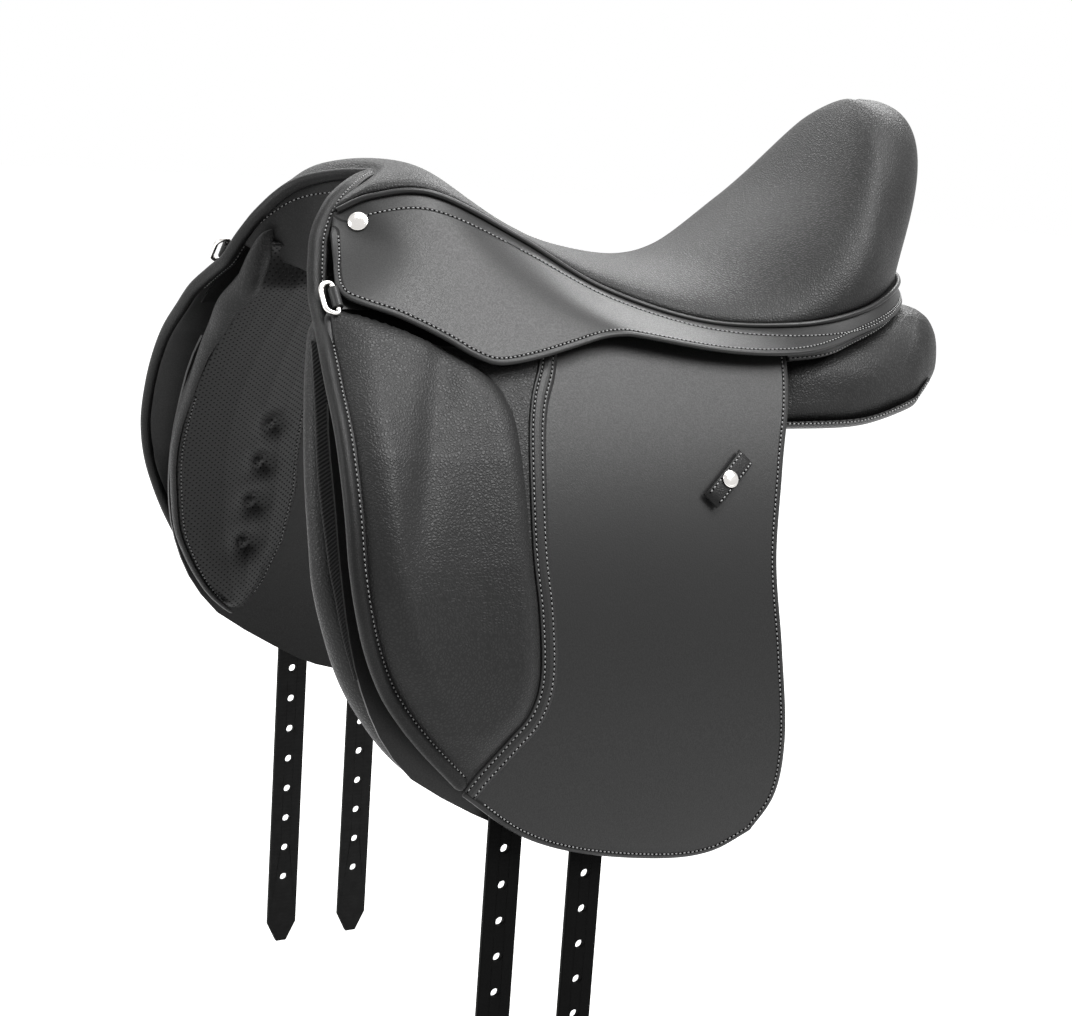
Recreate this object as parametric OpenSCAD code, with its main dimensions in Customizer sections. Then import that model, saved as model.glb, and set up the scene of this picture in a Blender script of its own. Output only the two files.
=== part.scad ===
// Dressage saddle, millimetres.
// X runs from the pommel to the cantle, Z is up, the near (left) side is -Y.
// The origin lies on the centre plane, below the deepest point of the seat.

/* [Seat] */
// thickness of the seat leather
cover_t = 2.5; // [1.5:0.5:4]
// depth of the foam and tree below the centre line of the seat
foam_depth = 26; // [22:1:32]
// thickness of the moulded tree
tree_t = 6; // [4:0.5:8]
// diameter of the welt between seat and skirt
welt_d = 6; // [4:0.5:8]

/* [Skirt] */
// thickness of the skirt leather
skirt_t = 3; // [2:0.5:4]
// distance of the skirt's outer face from the flap
skirt_lift = 14; // [13.5:0.5:17]
// diameter of the skirt button
skirt_button_d = 13; // [8:0.5:16]

/* [Flap] */
// thickness of the flap leather
flap_t = 4; // [3:0.5:6]
// thickness of the sweat flap
sweat_t = 3; // [2:0.5:5]
// diameter of the rolled front edge of the flap
roll_d = 12; // [8:0.5:14]
// diameter of the piping behind the knee block
piping_d = 5; // [3:0.5:7]
// greatest height of the knee block above the flap
block_h = 19; // [10:1:24]
// greatest depth of the perforated front pad
pad_h = 20; // [10:1:26]
// diameter of the roll along the front of the panel
panel_roll_d = 21; // [12:1:23]

/* [Straps] */
// width of a girth strap
billet_w = 24; // [18:1:30]
// thickness of a girth strap
billet_t = 4; // [3:0.5:5]
// diameter of a girth strap hole
hole_d = 6; // [4:0.5:8]
// spacing of the girth strap holes
hole_pitch = 25.4; // [20:0.2:28]
// number of holes in a girth strap
hole_count = 9; // [5:1:9]
// distance from the last hole to the tip
tip_length = 56; // [45:1:75]
// width of a girth strap keeper
keeper_w = 15; // [10:1:20]
// length of a girth strap keeper between its sewn ends
keeper_span = 30; // [26:1:36]
// clear height under a keeper
keeper_room = 5; // [4:0.5:7]

/* [Metal fittings] */
// wire diameter of a front ring
ring_wire = 3.5; // [2.5:0.5:4]
// width of a front ring
ring_w = 26; // [22:1:30]
// depth of a front ring from its bar
ring_depth = 12; // [10:0.5:12.5]
// length of the stirrup bar
bar_l = 66; // [56:1:70]
// height of the stirrup bar
bar_h = 12; // [8:0.5:14]
// thickness of the stirrup bar
bar_t = 5; // [4:0.25:5.5]
// diameter of the safety catch pin
catch_pin_d = 4; // [3:0.25:5]
// diameter of the stirrup bar rivets
rivet_d = 5; // [3:0.5:6]
// thickness of the gullet plate
gullet_t = 4.5; // [3:0.5:6]

/* [Hidden] */
// gap between pieces that touch in use
clear = 0.3;
// room between a girth strap and the flap, and between the strap and the sweat flap
strap_room = 11;
sweat_room = 2;
// room between a girth strap and the web that carries it
web_room = 0.8;
// the flaps, straps and pads lie on level cylinders about one axis
flap_r = 401;
axis_z = -240;
// half width and height of the flaps where the stirrup bars sit
head_y = 106.96;
bar_z = 25;
axis_y = head_y - sqrt(pow(flap_r, 2) - pow(bar_z - axis_z, 2));
// height of the line on which a flap lifts
hinge_z = -6;

// distances of the layers from the outer face of the flap
strap_out = -flap_t - strap_room;
strap_in = strap_out - billet_t;
web_out = strap_in - web_room;
web_in = web_out - 3;
sweat_out = strap_in - sweat_room;
sweat_in = sweat_out - sweat_t;

// points of a curve through points p, n steps between neighbours
function curve_at(p, u) =
    let (k = min(floor(u), len(p) - 2), f = u - k)
    let (b = p[k], c = p[k + 1])
    let (a = k > 0 ? p[k - 1] : 2 * b - c, d = k < len(p) - 2 ? p[k + 2] : 2 * c - b)
    0.5 * (2 * b + (c - a) * f + (2 * a - 5 * b + 4 * c - d) * f * f + (3 * b - a - 3 * c + d) * f * f * f);
function curve(p, n) = [for (i = [0 : (len(p) - 1) * n]) curve_at(p, i / n)];
function bezier(a, b, c, d, s) =
    pow(1 - s, 3) * a + 3 * s * pow(1 - s, 2) * b + 3 * s * s * (1 - s) * c + pow(s, 3) * d;
function unit(v) = v / norm(v);
function mirror_y(p) = [p[0], -p[1], p[2]];
function reversed(p) = [for (i = [len(p) - 1 : -1 : 0]) p[i]];

// outer face of the flap: half width at height z, and a point off that face
function flap_y(z, off = 0) = axis_y + sqrt(pow(flap_r + off, 2) - pow(z - axis_z, 2));
function on_flap(x, z, off) =
    let (b = asin((z - axis_z) / flap_r))
    [x, axis_y + (flap_r + off) * cos(b), axis_z + (flap_r + off) * sin(b)];
function flap_tilt(z) = asin((z - axis_z) / flap_r);

// the front of the hanging flap stands out from its cylinder, most of all beside the knee
flare = 21;
flare_from = -200;
flare_run = 85;
flare_heights = [[-195, 0], [-162, 0.45], [-134, 0.85], [-97, 1], [-78, 1], [-58, 0.92], [-37, 0.64],
    [-24, 0.34], [-14, 0.1], [hinge_z, 0]];
function flap_flare(x, z) =
    flare * pow(min(1, max(0, (flare_from - x) / flare_run)), 1.4) * lookup(z, flare_heights);
function flared(x, z, off) = on_flap(x, z, off + flap_flare(x, z));

// direction across a grid at one of its points
function grid_normal(g, i, j) =
    let (i0 = max(i - 1, 0), i1 = min(i + 1, len(g) - 1))
    let (j0 = max(j - 1, 0), j1 = min(j + 1, len(g[0]) - 1))
    unit(cross(g[i1][j] - g[i0][j], g[i][j1] - g[i][j0]));
function grid_offset(g, d) =
    [for (i = [0 : len(g) - 1]) [for (j = [0 : len(g[0]) - 1]) g[i][j] + d * grid_normal(g, i, j)]];

// closed solid between two grids of the same size; folded joins the last row to itself
module grid_solid(top, low, folded = false) {
    n = len(top);
    m = len(top[0]);
    h = n * m;
    l = n - 1;
    function quad(a, b, c, d) = [[a, b, c], [a, c, d]];
    points = concat([for (r = top) each r], [for (r = low) each r]);
    sheet = [for (i = [0 : n - 2], j = [0 : m - 2])
        each concat(quad(i * m + j, i * m + j + 1, i * m + m + j + 1, i * m + m + j),
            quad(h + i * m + j, h + i * m + m + j, h + i * m + m + j + 1, h + i * m + j + 1))];
    sides = [for (i = [0 : n - 2])
        each concat(quad(i * m, i * m + m, h + i * m + m, h + i * m),
            quad(i * m + m - 1, h + i * m + m - 1, h + i * m + 2 * m - 1, i * m + 2 * m - 1))];
    first = [for (j = [0 : m - 2]) each quad(j + 1, j, h + j, h + j + 1)];
    last = folded
        ? [for (j = [0 : m / 2 - 2])
            each concat(quad(l * m + j, l * m + j + 1, l * m + m - 2 - j, l * m + m - 1 - j),
                quad(h + l * m + j, h + l * m + m - 1 - j, h + l * m + m - 2 - j, h + l * m + j + 1))]
        : [for (j = [0 : m - 2]) each quad(l * m + j, l * m + j + 1, h + l * m + j + 1, h + l * m + j)];
    rim = folded ? quad(l * m, l * m + m - 1, h + l * m + m - 1, h + l * m) : [];
    polyhedron(points, concat(sheet, sides, first, last, rim));
}

// closed solid through rings of equal point counts, capped by fans
module loft(rings) {
    n = len(rings);
    m = len(rings[0]);
    function middle(r) = [for (k = [0 : 2]) [for (p = r) p[k]] * [for (p = r) 1] / m];
    points = concat([for (r = rings) each r], [middle(rings[0]), middle(rings[n - 1])]);
    skin = [for (i = [0 : n - 2], j = [0 : m - 1])
        let (a = i * m + j, b = i * m + (j + 1) % m)
        each [[a, b, b + m], [a, b + m, a + m]]];
    caps = [for (j = [0 : m - 1])
        each [[n * m, (j + 1) % m, j], [n * m + 1, (n - 1) * m + j, (n - 1) * m + (j + 1) % m]]];
    polyhedron(points, concat(skin, caps));
}

// round cord along a path; up is never parallel to the path
module cord(path, d, up = [0, 0, 1], sides = 8) {
    last = len(path) - 1;
    rings = [for (i = [0 : last])
        let (along = unit(path[min(i + 1, last)] - path[max(i - 1, 0)]))
        let (across = unit(cross(along, up)), rise = cross(across, along))
        [for (k = [0 : sides - 1])
            path[i] + d / 2 * (cos(360 * k / sides) * across + sin(360 * k / sides) * rise)]];
    loft(rings);
}

// round wire along a closed flat loop
module closed_cord(loop, d, sides = 10) {
    n = len(loop);
    points = [for (i = [0 : n - 1])
        let (along = unit(loop[(i + 1) % n] - loop[(i + n - 1) % n]), across = cross(along, [0, 0, 1]))
        for (k = [0 : sides - 1])
            loop[i] + d / 2 * (cos(360 * k / sides) * across + sin(360 * k / sides) * [0, 0, 1])];
    skin = [for (i = [0 : n - 1], j = [0 : sides - 1])
        let (a = i * sides + j, b = i * sides + (j + 1) % sides, step = (i + 1) % n * sides - i * sides)
        each [[a, b, b + step], [a, b + step, a + step]]];
    polyhedron(points, skin);
}

// sheet on the flap's cylinder between two distances, cut to a side outline
module on_cylinder(off_low, off_high) {
    outside = axis_y + flap_r + off_high + 1;
    inside = welt_d;
    intersection() {
        translate([-400, axis_y, axis_z]) rotate([0, 90, 0]) difference() {
            cylinder(h = 800, r = flap_r + off_high, $fn = 720);
            translate([0, 0, -1]) cylinder(h = 802, r = flap_r + off_low, $fn = 720);
        }
        translate([0, outside, 0]) rotate([90, 0, 0]) linear_extrude(outside - inside) children();
    }
}

// place children at a point of the flap: x forward, y up the flap, z away from it
module at_flap(x, z, off = 0) {
    translate(on_flap(x, z, off)) rotate([flap_tilt(z) - 90, 0, 0]) rotate([0, 0, 180]) children();
}

// place children with z along a direction
module facing(p, n) {
    translate(p) rotate([0, acos(n[2]), atan2(n[1], n[0])]) children();
}

module on_left() {
    mirror([0, 1, 0]) children();
}

// welt stations from the pommel to the cantle, right half:
// welt x, y, z, ridge x, z, heading of the welt's outer side, lean, rise, crown
seat_stations = [
    [-244, 50, 80, -190, 108, -25, 4, 14, 26],
    [-219, 54, 91, -186, 111, 0, 6, 12, 28],
    [-182, 60, 97, -164, 106, 0, 8, 6, 34],
    [-122, 66, 70, -115, 75, 0, 6, 5, 33],
    [-60, 74, 37, -54, 54, 0, 6, 10, 42],
    [9, 94, 16, 12, 46, 0, 6, 10, 54],
    [73, 114, 14, 66, 59, 0, 5, 13, 66],
    [125, 112, 22, 122, 95, 10, 8, 54, 60],
    [163, 95, 34, 170, 153, 35, -4, 80, 42],
    [193, 56, 42, 185, 161, 65, 24, 82, 48],
    [203, 0.6, 45, 192, 163, 90, 44, 84, 48]
];
// tree stations: edge x, y, z, ridge x, rise; the front of the edge lies inside the flap
tree_stations = [
    [-240, tree_edge(60), 60, -186, 10],
    [-216, tree_edge(61), 61, -182, 10],
    [-178, tree_edge(59), 59, -162, 10],
    [-121, tree_edge(50), 50, -112, 5],
    [-61, tree_edge(13), 13, -52, 4],
    [8, tree_edge(0), 0, 8, 6],
    [60, tree_edge(-2), -2, 62, 12],
    [110, 100, 4, 116, 36],
    [146, 78, 10, 154, 60],
    [168, 44, 15, 168, 66],
    [176, 0.6, 17, 172, 68]
];
function tree_edge(z) = flap_y(z, -flap_t - 2 * clear);
seat_steps = 26;
seat_rows = 7;
function station(k) = curve_at(seat_stations, k);
function outward(v) = [sin(v[5]), cos(v[5]), 0];
// the crown lies square to the ridge, and turns to the rear only at the top of the cantle
function crown_out(k) = let (a = lookup(k, [[8, 0], [9, 45], [10, 90]])) [sin(a), cos(a), 0];
function seat_point(k, s) =
    let (v = station(k), o = outward(v), w = [v[0], v[1], v[2]], q = [v[3], 0.6, v[4]])
    bezier(w, w + v[6] * o + [0, 0, v[7]], q + v[8] * crown_out(k), q, s);
function base_point(k, s) =
    let (v = station(k), b = curve_at(tree_stations, k))
    let (w = [b[0], b[1], b[2]], q = [b[3], 0.6, v[4] - foam_depth])
    bezier(w, w + [0, -0.1 * b[1], b[4]], q + 0.6 * v[8] * crown_out(k), q, s);
// one row across the saddle from the left edge to the right edge
function half_row(k, of_seat) =
    [for (i = [0 : seat_rows]) of_seat ? seat_point(k, i / seat_rows) : base_point(k, i / seat_rows)];
function whole_row(k, of_seat) =
    let (h = half_row(k, of_seat))
    concat([for (p = h) mirror_y(p)], reversed(h));
seat_last = len(seat_stations) - 1;
function whole_grid(of_seat, k0 = 0, k1 = seat_last, n = seat_steps) =
    [for (i = [0 : n]) whole_row(k0 + (k1 - k0) * i / n, of_seat)];
seat_grid = whole_grid(true);
tree_grid = whole_grid(false);
function below(g, d) = grid_offset(g, -d);

module tree() {
    color("dimgray")
        grid_solid(below(tree_grid, clear), below(tree_grid, clear + tree_t), true);
}

// the foam stands on the middle of the tree, inside the edge that carries the flaps
foam_edge = 0.34;
function foam_half(k) =
    [for (i = [0 : seat_rows]) base_point(k, foam_edge + (1 - foam_edge) * i / seat_rows)];
function foam_row(k) =
    let (h = foam_half(k))
    concat([for (p = h) mirror_y(p)], reversed(h));
foam_grid = [for (i = [0 : seat_steps]) foam_row(seat_last * i / seat_steps)];
module seat_foam() {
    color("khaki")
        grid_solid(below(seat_grid, cover_t + clear), below(foam_grid, -0.8), true);
}

module seat_cover() {
    color("black")
        grid_solid(seat_grid, below(seat_grid, cover_t), true);
}

// welt along the lower edge of the seat, from one pommel arm round to the other
function welt_point(k) =
    let (v = station(k))
    [v[0], v[1], v[2] - 1] + (welt_d / 2 + clear) * outward(v);
module seat_welt() {
    half = [for (i = [0 : 40]) welt_point(seat_last * i / 40)];
    color("black")
        cord(concat([for (p = half) mirror_y(p)], reversed(half)), welt_d);
}

// steel arch and lining under the front of the tree
gullet_depth = clear + tree_t + clear;
facing_depth = gullet_depth + gullet_t + clear;
module gullet_plate() {
    g = whole_grid(false, 0.25, 0.9, 4);
    color("silver")
        grid_solid(below(g, gullet_depth), below(g, gullet_depth + gullet_t));
}
module gullet_facing() {
    g = whole_grid(false, 0.02, 1.7, 7);
    color("black")
        grid_solid(below(g, facing_depth), below(g, facing_depth + 2));
}

// front edge of the flap, from the pommel down to the front corner: x and z
flap_edge = [[-262, 74], [-268, 66], [-277, 34], [-283, 0], [-288, -45], [-290, -92], [-287, -134],
    [-270, -182], [-245, -221], [-206, -263]];
edge_line = curve(flap_edge, 6);
function edge_x(z) = lookup(z, [for (p = edge_line) [p[1], p[0]]]);
// hem and rear edge of the flap
flap_hem = [[-161, -297], [-113, -317], [-50, -330], [-11, -330], [18, -317], [33, -290], [35, -250],
    [28, -187], [25, -128], [37, -72], [52, -29], [60, hinge_z]];
flap_front = roll_d + clear;
// points of a falling line moved inwards from the front edge
function inwards(line, d) =
    [for (i = [0 : len(line) - 1])
        let (t = line[min(i + 1, len(line) - 1)] - line[max(i - 1, 0)])
        line[i] + d * [-t[1], t[0]] / norm(t)];
function from_height(line, z) =
    concat([[lookup(z, [for (p = line) [p[1], p[0]]]), z]], [for (p = line) if (p[1] < z - 1) p]);

// flat patch of the hanging flap between its four edges: u to the rear, v down
flap_low = hinge_z - clear;
flap_left_edge = from_height(inwards(edge_line, flap_front), flap_low);
flap_corner = flap_left_edge[len(flap_left_edge) - 1];
flap_hem_edge = concat([flap_corner], [for (i = [0 : 4]) flap_hem[i]]);
flap_rear_edge = concat([[flap_hem[11][0], flap_low]], [for (i = [10 : -1 : 4]) flap_hem[i]]);
function share_at(p, u) = curve_at(p, u * (len(p) - 1));
function flap_patch(u, v) =
    let (a = flap_left_edge[0], b = flap_rear_edge[0], c = flap_corner, d = flap_hem[4])
    (1 - v) * (a + (b - a) * u) + v * share_at(flap_hem_edge, u)
    + (1 - u) * share_at(flap_left_edge, v) + u * share_at(flap_rear_edge, v)
    - (1 - u) * (1 - v) * a - u * (1 - v) * b - (1 - u) * v * c - u * v * d;

module flap_head_outline() {
    low = hinge_z + clear;
    top = curve([[-246, 62], [-220, 66], [-180, 64], [-121, 55], [-90, 33], [-61, 17], [8, 3], [54, 0],
        [59, -2]], 3);
    front = [for (i = [0 : 8])
        let (z = low + (58 - low) * i / 8) [edge_x(z) + flap_front + 0.15 * (z - low), z]];
    polygon(concat(front, top, [[60, low]]));
}

// stirrup bar, set in a window of the flap head
bar_x = -160;
bar_low = 2;
bar_base = 4.8;
base_l = bar_l + 48;
base_h = 22;
base_t = 3.2;
rivet_x = base_l / 2 - 5.5;
window_l = 2 * rivet_x - 11;
window_h = base_h - 4;
pin_x = -bar_l / 2 + 7;
lap = 0.3;

module flap_head() {
    color("black") difference() {
        on_cylinder(-flap_t, 0) flap_head_outline();
        at_flap(bar_x, bar_z) {
            translate([-window_l / 2, -window_h / 2, -10]) cube([window_l, window_h, 20]);
            for (x = [-rivet_x, rivet_x]) {
                translate([x, 0, -10]) cylinder(h = 20, d = rivet_d + 0.2, $fn = 32);
            }
        }
    }
}

module stirrup_bar() {
    half = (bar_t - lap) / 2;
    color("silver") at_flap(bar_x, bar_z) difference() {
        union() {
            translate([-base_l / 2, -base_h / 2, -bar_base - base_t]) cube([base_l, base_h, base_t]);
            translate([bar_l / 2 - 2, -bar_h / 2, -bar_base - base_t])
                cube([12, bar_h, bar_low + bar_base + base_t + bar_t]);
            translate([-bar_l / 2 + 14, -bar_h / 2, bar_low]) cube([bar_l - 14 + 5, bar_h, bar_t]);
            translate([pin_x, 0, bar_low]) cylinder(h = half, d = bar_h, $fn = 48);
            translate([pin_x, -bar_h / 2, bar_low]) cube([10, bar_h, half]);
        }
        translate([pin_x, 0, bar_low - 1]) cylinder(h = bar_t, d = catch_pin_d + 0.2, $fn = 32);
        for (x = [-rivet_x, rivet_x]) {
            translate([x, 0, -12]) cylinder(h = 20, d = rivet_d + 0.2, $fn = 32);
        }
    }
}

module bar_rivet(x) {
    at_flap(bar_x, bar_z) translate([x, 0, 0]) {
        translate([0, 0, -bar_base - 4.2]) cylinder(h = bar_base + 5.2, d = rivet_d, $fn = 32);
        translate([0, 0, 0.4]) cylinder(h = 1.6, d = 1.8 * rivet_d, $fn = 32);
        translate([0, 0, -bar_base - 5.2]) cylinder(h = 1.8, d = 1.6 * rivet_d, $fn = 32);
    }
}
module bar_rivets() {
    color("silver") for (x = [-rivet_x, rivet_x]) {
        bar_rivet(x);
        on_left() bar_rivet(x);
    }
}

// safety catch that closes the rear end of the bar
module catch_piece() {
    half = (bar_t - lap) / 2;
    color("silver") at_flap(bar_x, bar_z) translate([pin_x, 0, bar_low + half + lap]) difference() {
        union() {
            cylinder(h = half, d = bar_h - 1, $fn = 48);
            translate([-18, -bar_h / 2 + 0.5, 0]) cube([18, bar_h - 1, half]);
        }
        translate([0, 0, -1]) cylinder(h = half + 2, d = catch_pin_d + 0.6, $fn = 32);
    }
}
module catch_pin() {
    at_flap(bar_x, bar_z) translate([pin_x, 0, bar_low - 0.4])
        cylinder(h = bar_t + 0.6, d = catch_pin_d, $fn = 32);
}
module catch_pins() {
    color("silver") {
        catch_pin();
        on_left() catch_pin();
    }
}

// skirt: the upper part and rear band are fixed, the lobe in front lifts on a straight line
lobe_a = on_flap(-259, 65, skirt_lift);
lobe_b = on_flap(-66, 7, skirt_lift);
lobe_e = on_flap(-171, -8.4, skirt_lift);
lobe_u = unit(lobe_b - lobe_a);
lobe_n = unit(cross(lobe_u, lobe_e - lobe_a));
lobe_v = cross(lobe_n, lobe_u);
lobe_gap = 0.13 * skirt_lift;
// lower edge of the rear band, from the end of the lobe to the cantle
band_edge = [lobe_b, on_flap(9, -4, skirt_lift), on_flap(70, -5, skirt_lift), [122, 124, 10], [165, 104, 20],
    [200, 60, 27], [214, 0.6, 30]];
function skirt_top(k) =
    let (v = station(k))
    [v[0], v[1], v[2] - 3.4] + (welt_d + 2) * outward(v);
function skirt_low(k) =
    k < 4 ? lobe_a + (lobe_b - lobe_a) * k / 4 : curve_at(band_edge, k - 4);
function skirt_point(k, r) = skirt_top(k) + (skirt_low(k) - skirt_top(k)) * r;
skirt_grid = [for (i = [0 : 30]) [for (r = [0 : 3]) skirt_point(seat_last * i / 30, r / 3)]];

module skirt_base() {
    color("black")
        grid_solid(skirt_grid, below(skirt_grid, skirt_t));
}

module skirt_lobe() {
    edge = curve([[4.4, 10.3], [9.7, 21.7], [15, 34], [19.5, 42.5], [25, 46.8], [34, 47.6], [55, 48],
        [83, 53], [104, 58.5], [121, 58.5], [143, 45.5], [168, 25.5], [188, 11.6]], 3);
    color("black") translate(lobe_a)
        multmatrix([[lobe_u[0], lobe_v[0], lobe_n[0], 0], [lobe_u[1], lobe_v[1], lobe_n[1], 0],
            [lobe_u[2], lobe_v[2], lobe_n[2], 0]])
        translate([0, 0, -skirt_t]) linear_extrude(skirt_t)
            polygon(concat([[0.8, lobe_gap]], edge, [[198, 4.5], [203, lobe_gap]]));
}

button_row = 0.42;
function button_normal() =
    unit(cross(skirt_point(0.4, button_row) - skirt_point(0.2, button_row),
        skirt_point(0.3, button_row + 0.1) - skirt_point(0.3, button_row - 0.1)));
module skirt_button() {
    facing(skirt_point(0.3, button_row), button_normal()) translate([0, 0, 2 * clear]) {
        cylinder(h = 1.6, d = skirt_button_d, $fn = 48);
        cylinder(h = 2.4, d = skirt_button_d - 3, $fn = 48);
    }
}
module skirt_buttons() {
    color("silver") {
        skirt_button();
        on_left() skirt_button();
    }
}

// rolled front edge, split where the flap lifts
module pommel_roll() {
    centre = -flap_t / 2;
    crest = [[-199, 0, 102], [-216, 14, 98], [-234, 28, 90], [-246, 41, 81], [-255, 54, 70], [-262, 68, 55],
        [-269, 85, 37]];
    arm = [for (z = [20, 6, hinge_z + 0.6]) on_flap(edge_x(z) + roll_d / 2, z, centre)];
    half = curve(concat(crest, arm), 4);
    color("black") cord(concat(reversed([for (i = [1 : len(half) - 1]) mirror_y(half[i])]), half), roll_d,
        [1, 0.001, 0.3]);
}
module flap_roll() {
    line = from_height(inwards(edge_line, roll_d / 2), hinge_z - 0.6);
    path = [for (p = line) flared(p[0], p[1], -flap_t / 2)];
    color("black") cord(path, roll_d, [1, 0, 0]);
}

flap_steps = 20;
flap_rows = 24;
module flap() {
    g = [for (i = [0 : flap_steps]) [for (j = [0 : flap_rows]) flap_patch(i / flap_steps, j / flap_rows)]];
    color("black") grid_solid(
        [for (r = g) [for (p = r) flared(p[0], p[1], 0)]],
        [for (r = g) [for (p = r) flared(p[0], p[1], -flap_t)]]);
}

// piping and knee block on the flap
piping_line = curve([[-144, -30], [-156, -70], [-160, -117], [-157, -166], [-157, -198], [-170, -223],
    [-184, -240]], 5);
function piping_x(z) = lookup(z, [for (p = piping_line) [p[1], p[0]]]);
module block_piping() {
    color("black")
        cord([for (p = piping_line) on_flap(p[0], p[1], piping_d / 2 + clear)], piping_d, [1, 0.2, 0]);
}

block_rows = 16;
block_steps = 12;
block_top = -16;
block_end = -238;
block_line = inwards(edge_line, flap_front + 3);
function block_left(z) = lookup(z, [for (p = block_line) [p[1], p[0]]]);
function block_right(z) =
    min(piping_x(min(z, -31)) - piping_d / 2 - 2,
        lookup(z, [[-90, -150], [-60, -158], [-40, -167], [-16, -187]]));
function block_height(u, w) =
    2 + (block_h - 2) * pow(sin(180 * u), 0.55) * min(1, 3.2 * w)
    * pow(sin(90 * min(1, 2.6 * (1 - w))), 0.7);
module knee_block() {
    g = [for (i = [0 : block_steps]) [for (j = [0 : block_rows])
        let (u = i / block_steps, w = j / block_rows, z = block_top + (block_end - block_top) * w)
        let (l = block_left(z), r = max(block_right(z), l + 6))
        [l + (r - l) * u, z, u, w]]];
    color("black") grid_solid(
        [for (r = g) [for (p = r) flared(p[0], p[1], 3 * clear + block_height(p[2], p[3]))]],
        [for (r = g) [for (p = r) flared(p[0], p[1], 3 * clear)]]);
}

// keeper for the strap ends, sewn to the flap at both ends
keeper_x = -5;
keeper_z = -76;
keeper_turn = -42;
keeper_end = 7;
module keeper() {
    half = keeper_span / 2;
    function rise(x) = abs(x) < half ? keeper_room * sqrt(1 - pow(x / half, 2)) : 0;
    xs = [for (i = [0 : 16]) -half + keeper_span * i / 16];
    ends = [half + keeper_end, half];
    low = concat([[-ends[0], 0]], [for (x = xs) [x, rise(x)]], [[ends[0], 0]]);
    top = concat([[ends[0], 2]], [for (x = reversed(xs)) [x * 1.06, rise(x) + 2]], [[-ends[0], 2]]);
    color("black") at_flap(keeper_x, keeper_z) rotate([0, 0, keeper_turn]) translate([0, keeper_w / 2, 0.5])
        rotate([90, 0, 0]) linear_extrude(keeper_w) polygon(concat(low, top));
}
module keeper_button() {
    color("silver") at_flap(keeper_x, keeper_z, keeper_room + 3.4) {
        cylinder(h = 1.2, d = 11, $fn = 48);
        cylinder(h = 1.8, d = 8, $fn = 48);
    }
}

// inner side: sweat flap, front pad, roll and panel
panel_front = [[-252, 34], [-269, 4], [-281, -38], [-284, -84], [-284, -131], [-278, -180], [-262, -224],
    [-238, -256], [-212, -274]];
panel_line = curve(panel_front, 5);
function panel_x(z) = lookup(z, [for (p = panel_line) [p[1], p[0]]]);
roll_off = sweat_in - panel_roll_d / 2 - clear;
module panel_roll() {
    path = [for (p = inwards(panel_line, panel_roll_d / 2)) on_flap(p[0], p[1], roll_off)];
    color("black") cord(path, panel_roll_d, [1, 0.2, 0]);
}

sweat_top = -28;
module sweat_flap() {
    front = [for (i = [0 : 16]) let (z = sweat_top + (-272 - sweat_top) * i / 16) [panel_x(z) + 6, z]];
    hem = curve([[-186, -286], [-150, -304], [-100, -315], [-50, -318], [-8, -312], [14, -290], [20, -240],
        [14, -150], [20, -80], [28, sweat_top]], 3);
    color("black") on_cylinder(sweat_in, sweat_out)
        polygon(concat(front, [for (p = hem) [p[0], min(p[1], sweat_top)]]));
}

pad_line = curve([[-231, 26], [-245, 1], [-258, -36], [-266, -81], [-269, -122], [-265, -163], [-253, -205],
    [-234, -240], [-220, -252]], 4);
pad_limit = inwards(panel_line, panel_roll_d + 1.5);
function pad_left(z) =
    max(lookup(z, [for (p = pad_line) [p[1], p[0]]]), lookup(z, [for (p = pad_limit) [p[1], p[0]]]));
function pad_right(z) =
    lookup(z, [[-252, -210], [-233, -195], [-201, -181], [-160, -177], [-118, -177], [26, -177]]);
pad_steps = 10;
pad_rows = 18;
pad_top = 26;
pad_end = -252;
function pad_height(u, w) = 2.5 + (pad_h - 2.5) * pow(sin(180 * u), 0.7) * pow(sin(180 * w), 0.6);
module front_pad() {
    g = [for (i = [0 : pad_steps]) [for (j = [0 : pad_rows])
        let (u = i / pad_steps, w = j / pad_rows, z = pad_end + (pad_top - pad_end) * w)
        let (l = pad_left(z), r = max(pad_right(z), l + 6))
        [l + (r - l) * u, z, u, w]]];
    color("black") grid_solid(
        [for (r = g) [for (p = r) on_flap(p[0], p[1], sweat_in - clear - pad_height(p[2], p[3]))]],
        [for (r = g) [for (p = r) on_flap(p[0], p[1], sweat_in - clear)]]);
}
module pad_tuft(x, z) {
    w = (z - pad_end) / (pad_top - pad_end);
    u = (x - pad_left(z)) / (pad_right(z) - pad_left(z));
    at_flap(x, z, sweat_in - clear - pad_height(u, w) - 3) cylinder(h = 2, d = 8, $fn = 32);
}
module pad_tufts() {
    color("black") for (i = [0 : 3]) {
        pad_tuft(-213 + 3.5 * i, -200 + 31 * i);
        on_left() pad_tuft(-213 + 3.5 * i, -200 + 31 * i);
    }
}

// panel sections from the pommel to the cantle: x, then y and z of the inner top,
// outer top, outer bottom and inner bottom corner
panel_stations = [
    [-170, 46, 42, 72, 24, 100, -16, 52, 6],
    [-165, 44, 46, 74, 26, 108, -20, 50, 2],
    [-121, 38, 34, 82, 14, 116, -32, 42, -10],
    [-61, 34, 16, 92, 2, 124, -42, 36, -26],
    [8, 32, 8, 102, -12, 132, -54, 34, -40],
    [36, 32, 8, 104, -14, 134, -58, 34, -44],
    [76, 32, 10, 124, -10, 142, -60, 34, -46],
    [130, 32, 14, 126, -2, 136, -62, 34, -42],
    [180, 32, 14, 106, 5, 122, -55, 34, -38],
    [196, 33, 15, 99, 9, 113, -50, 35, -35],
    [212, 34, 21, 91, 14, 103, -43, 36, -31],
    [225, 40, 17, 81, 9, 91, -32, 42, -25],
    [232, 48, 9, 71, 3, 78, -22, 50, -17]
];
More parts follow.
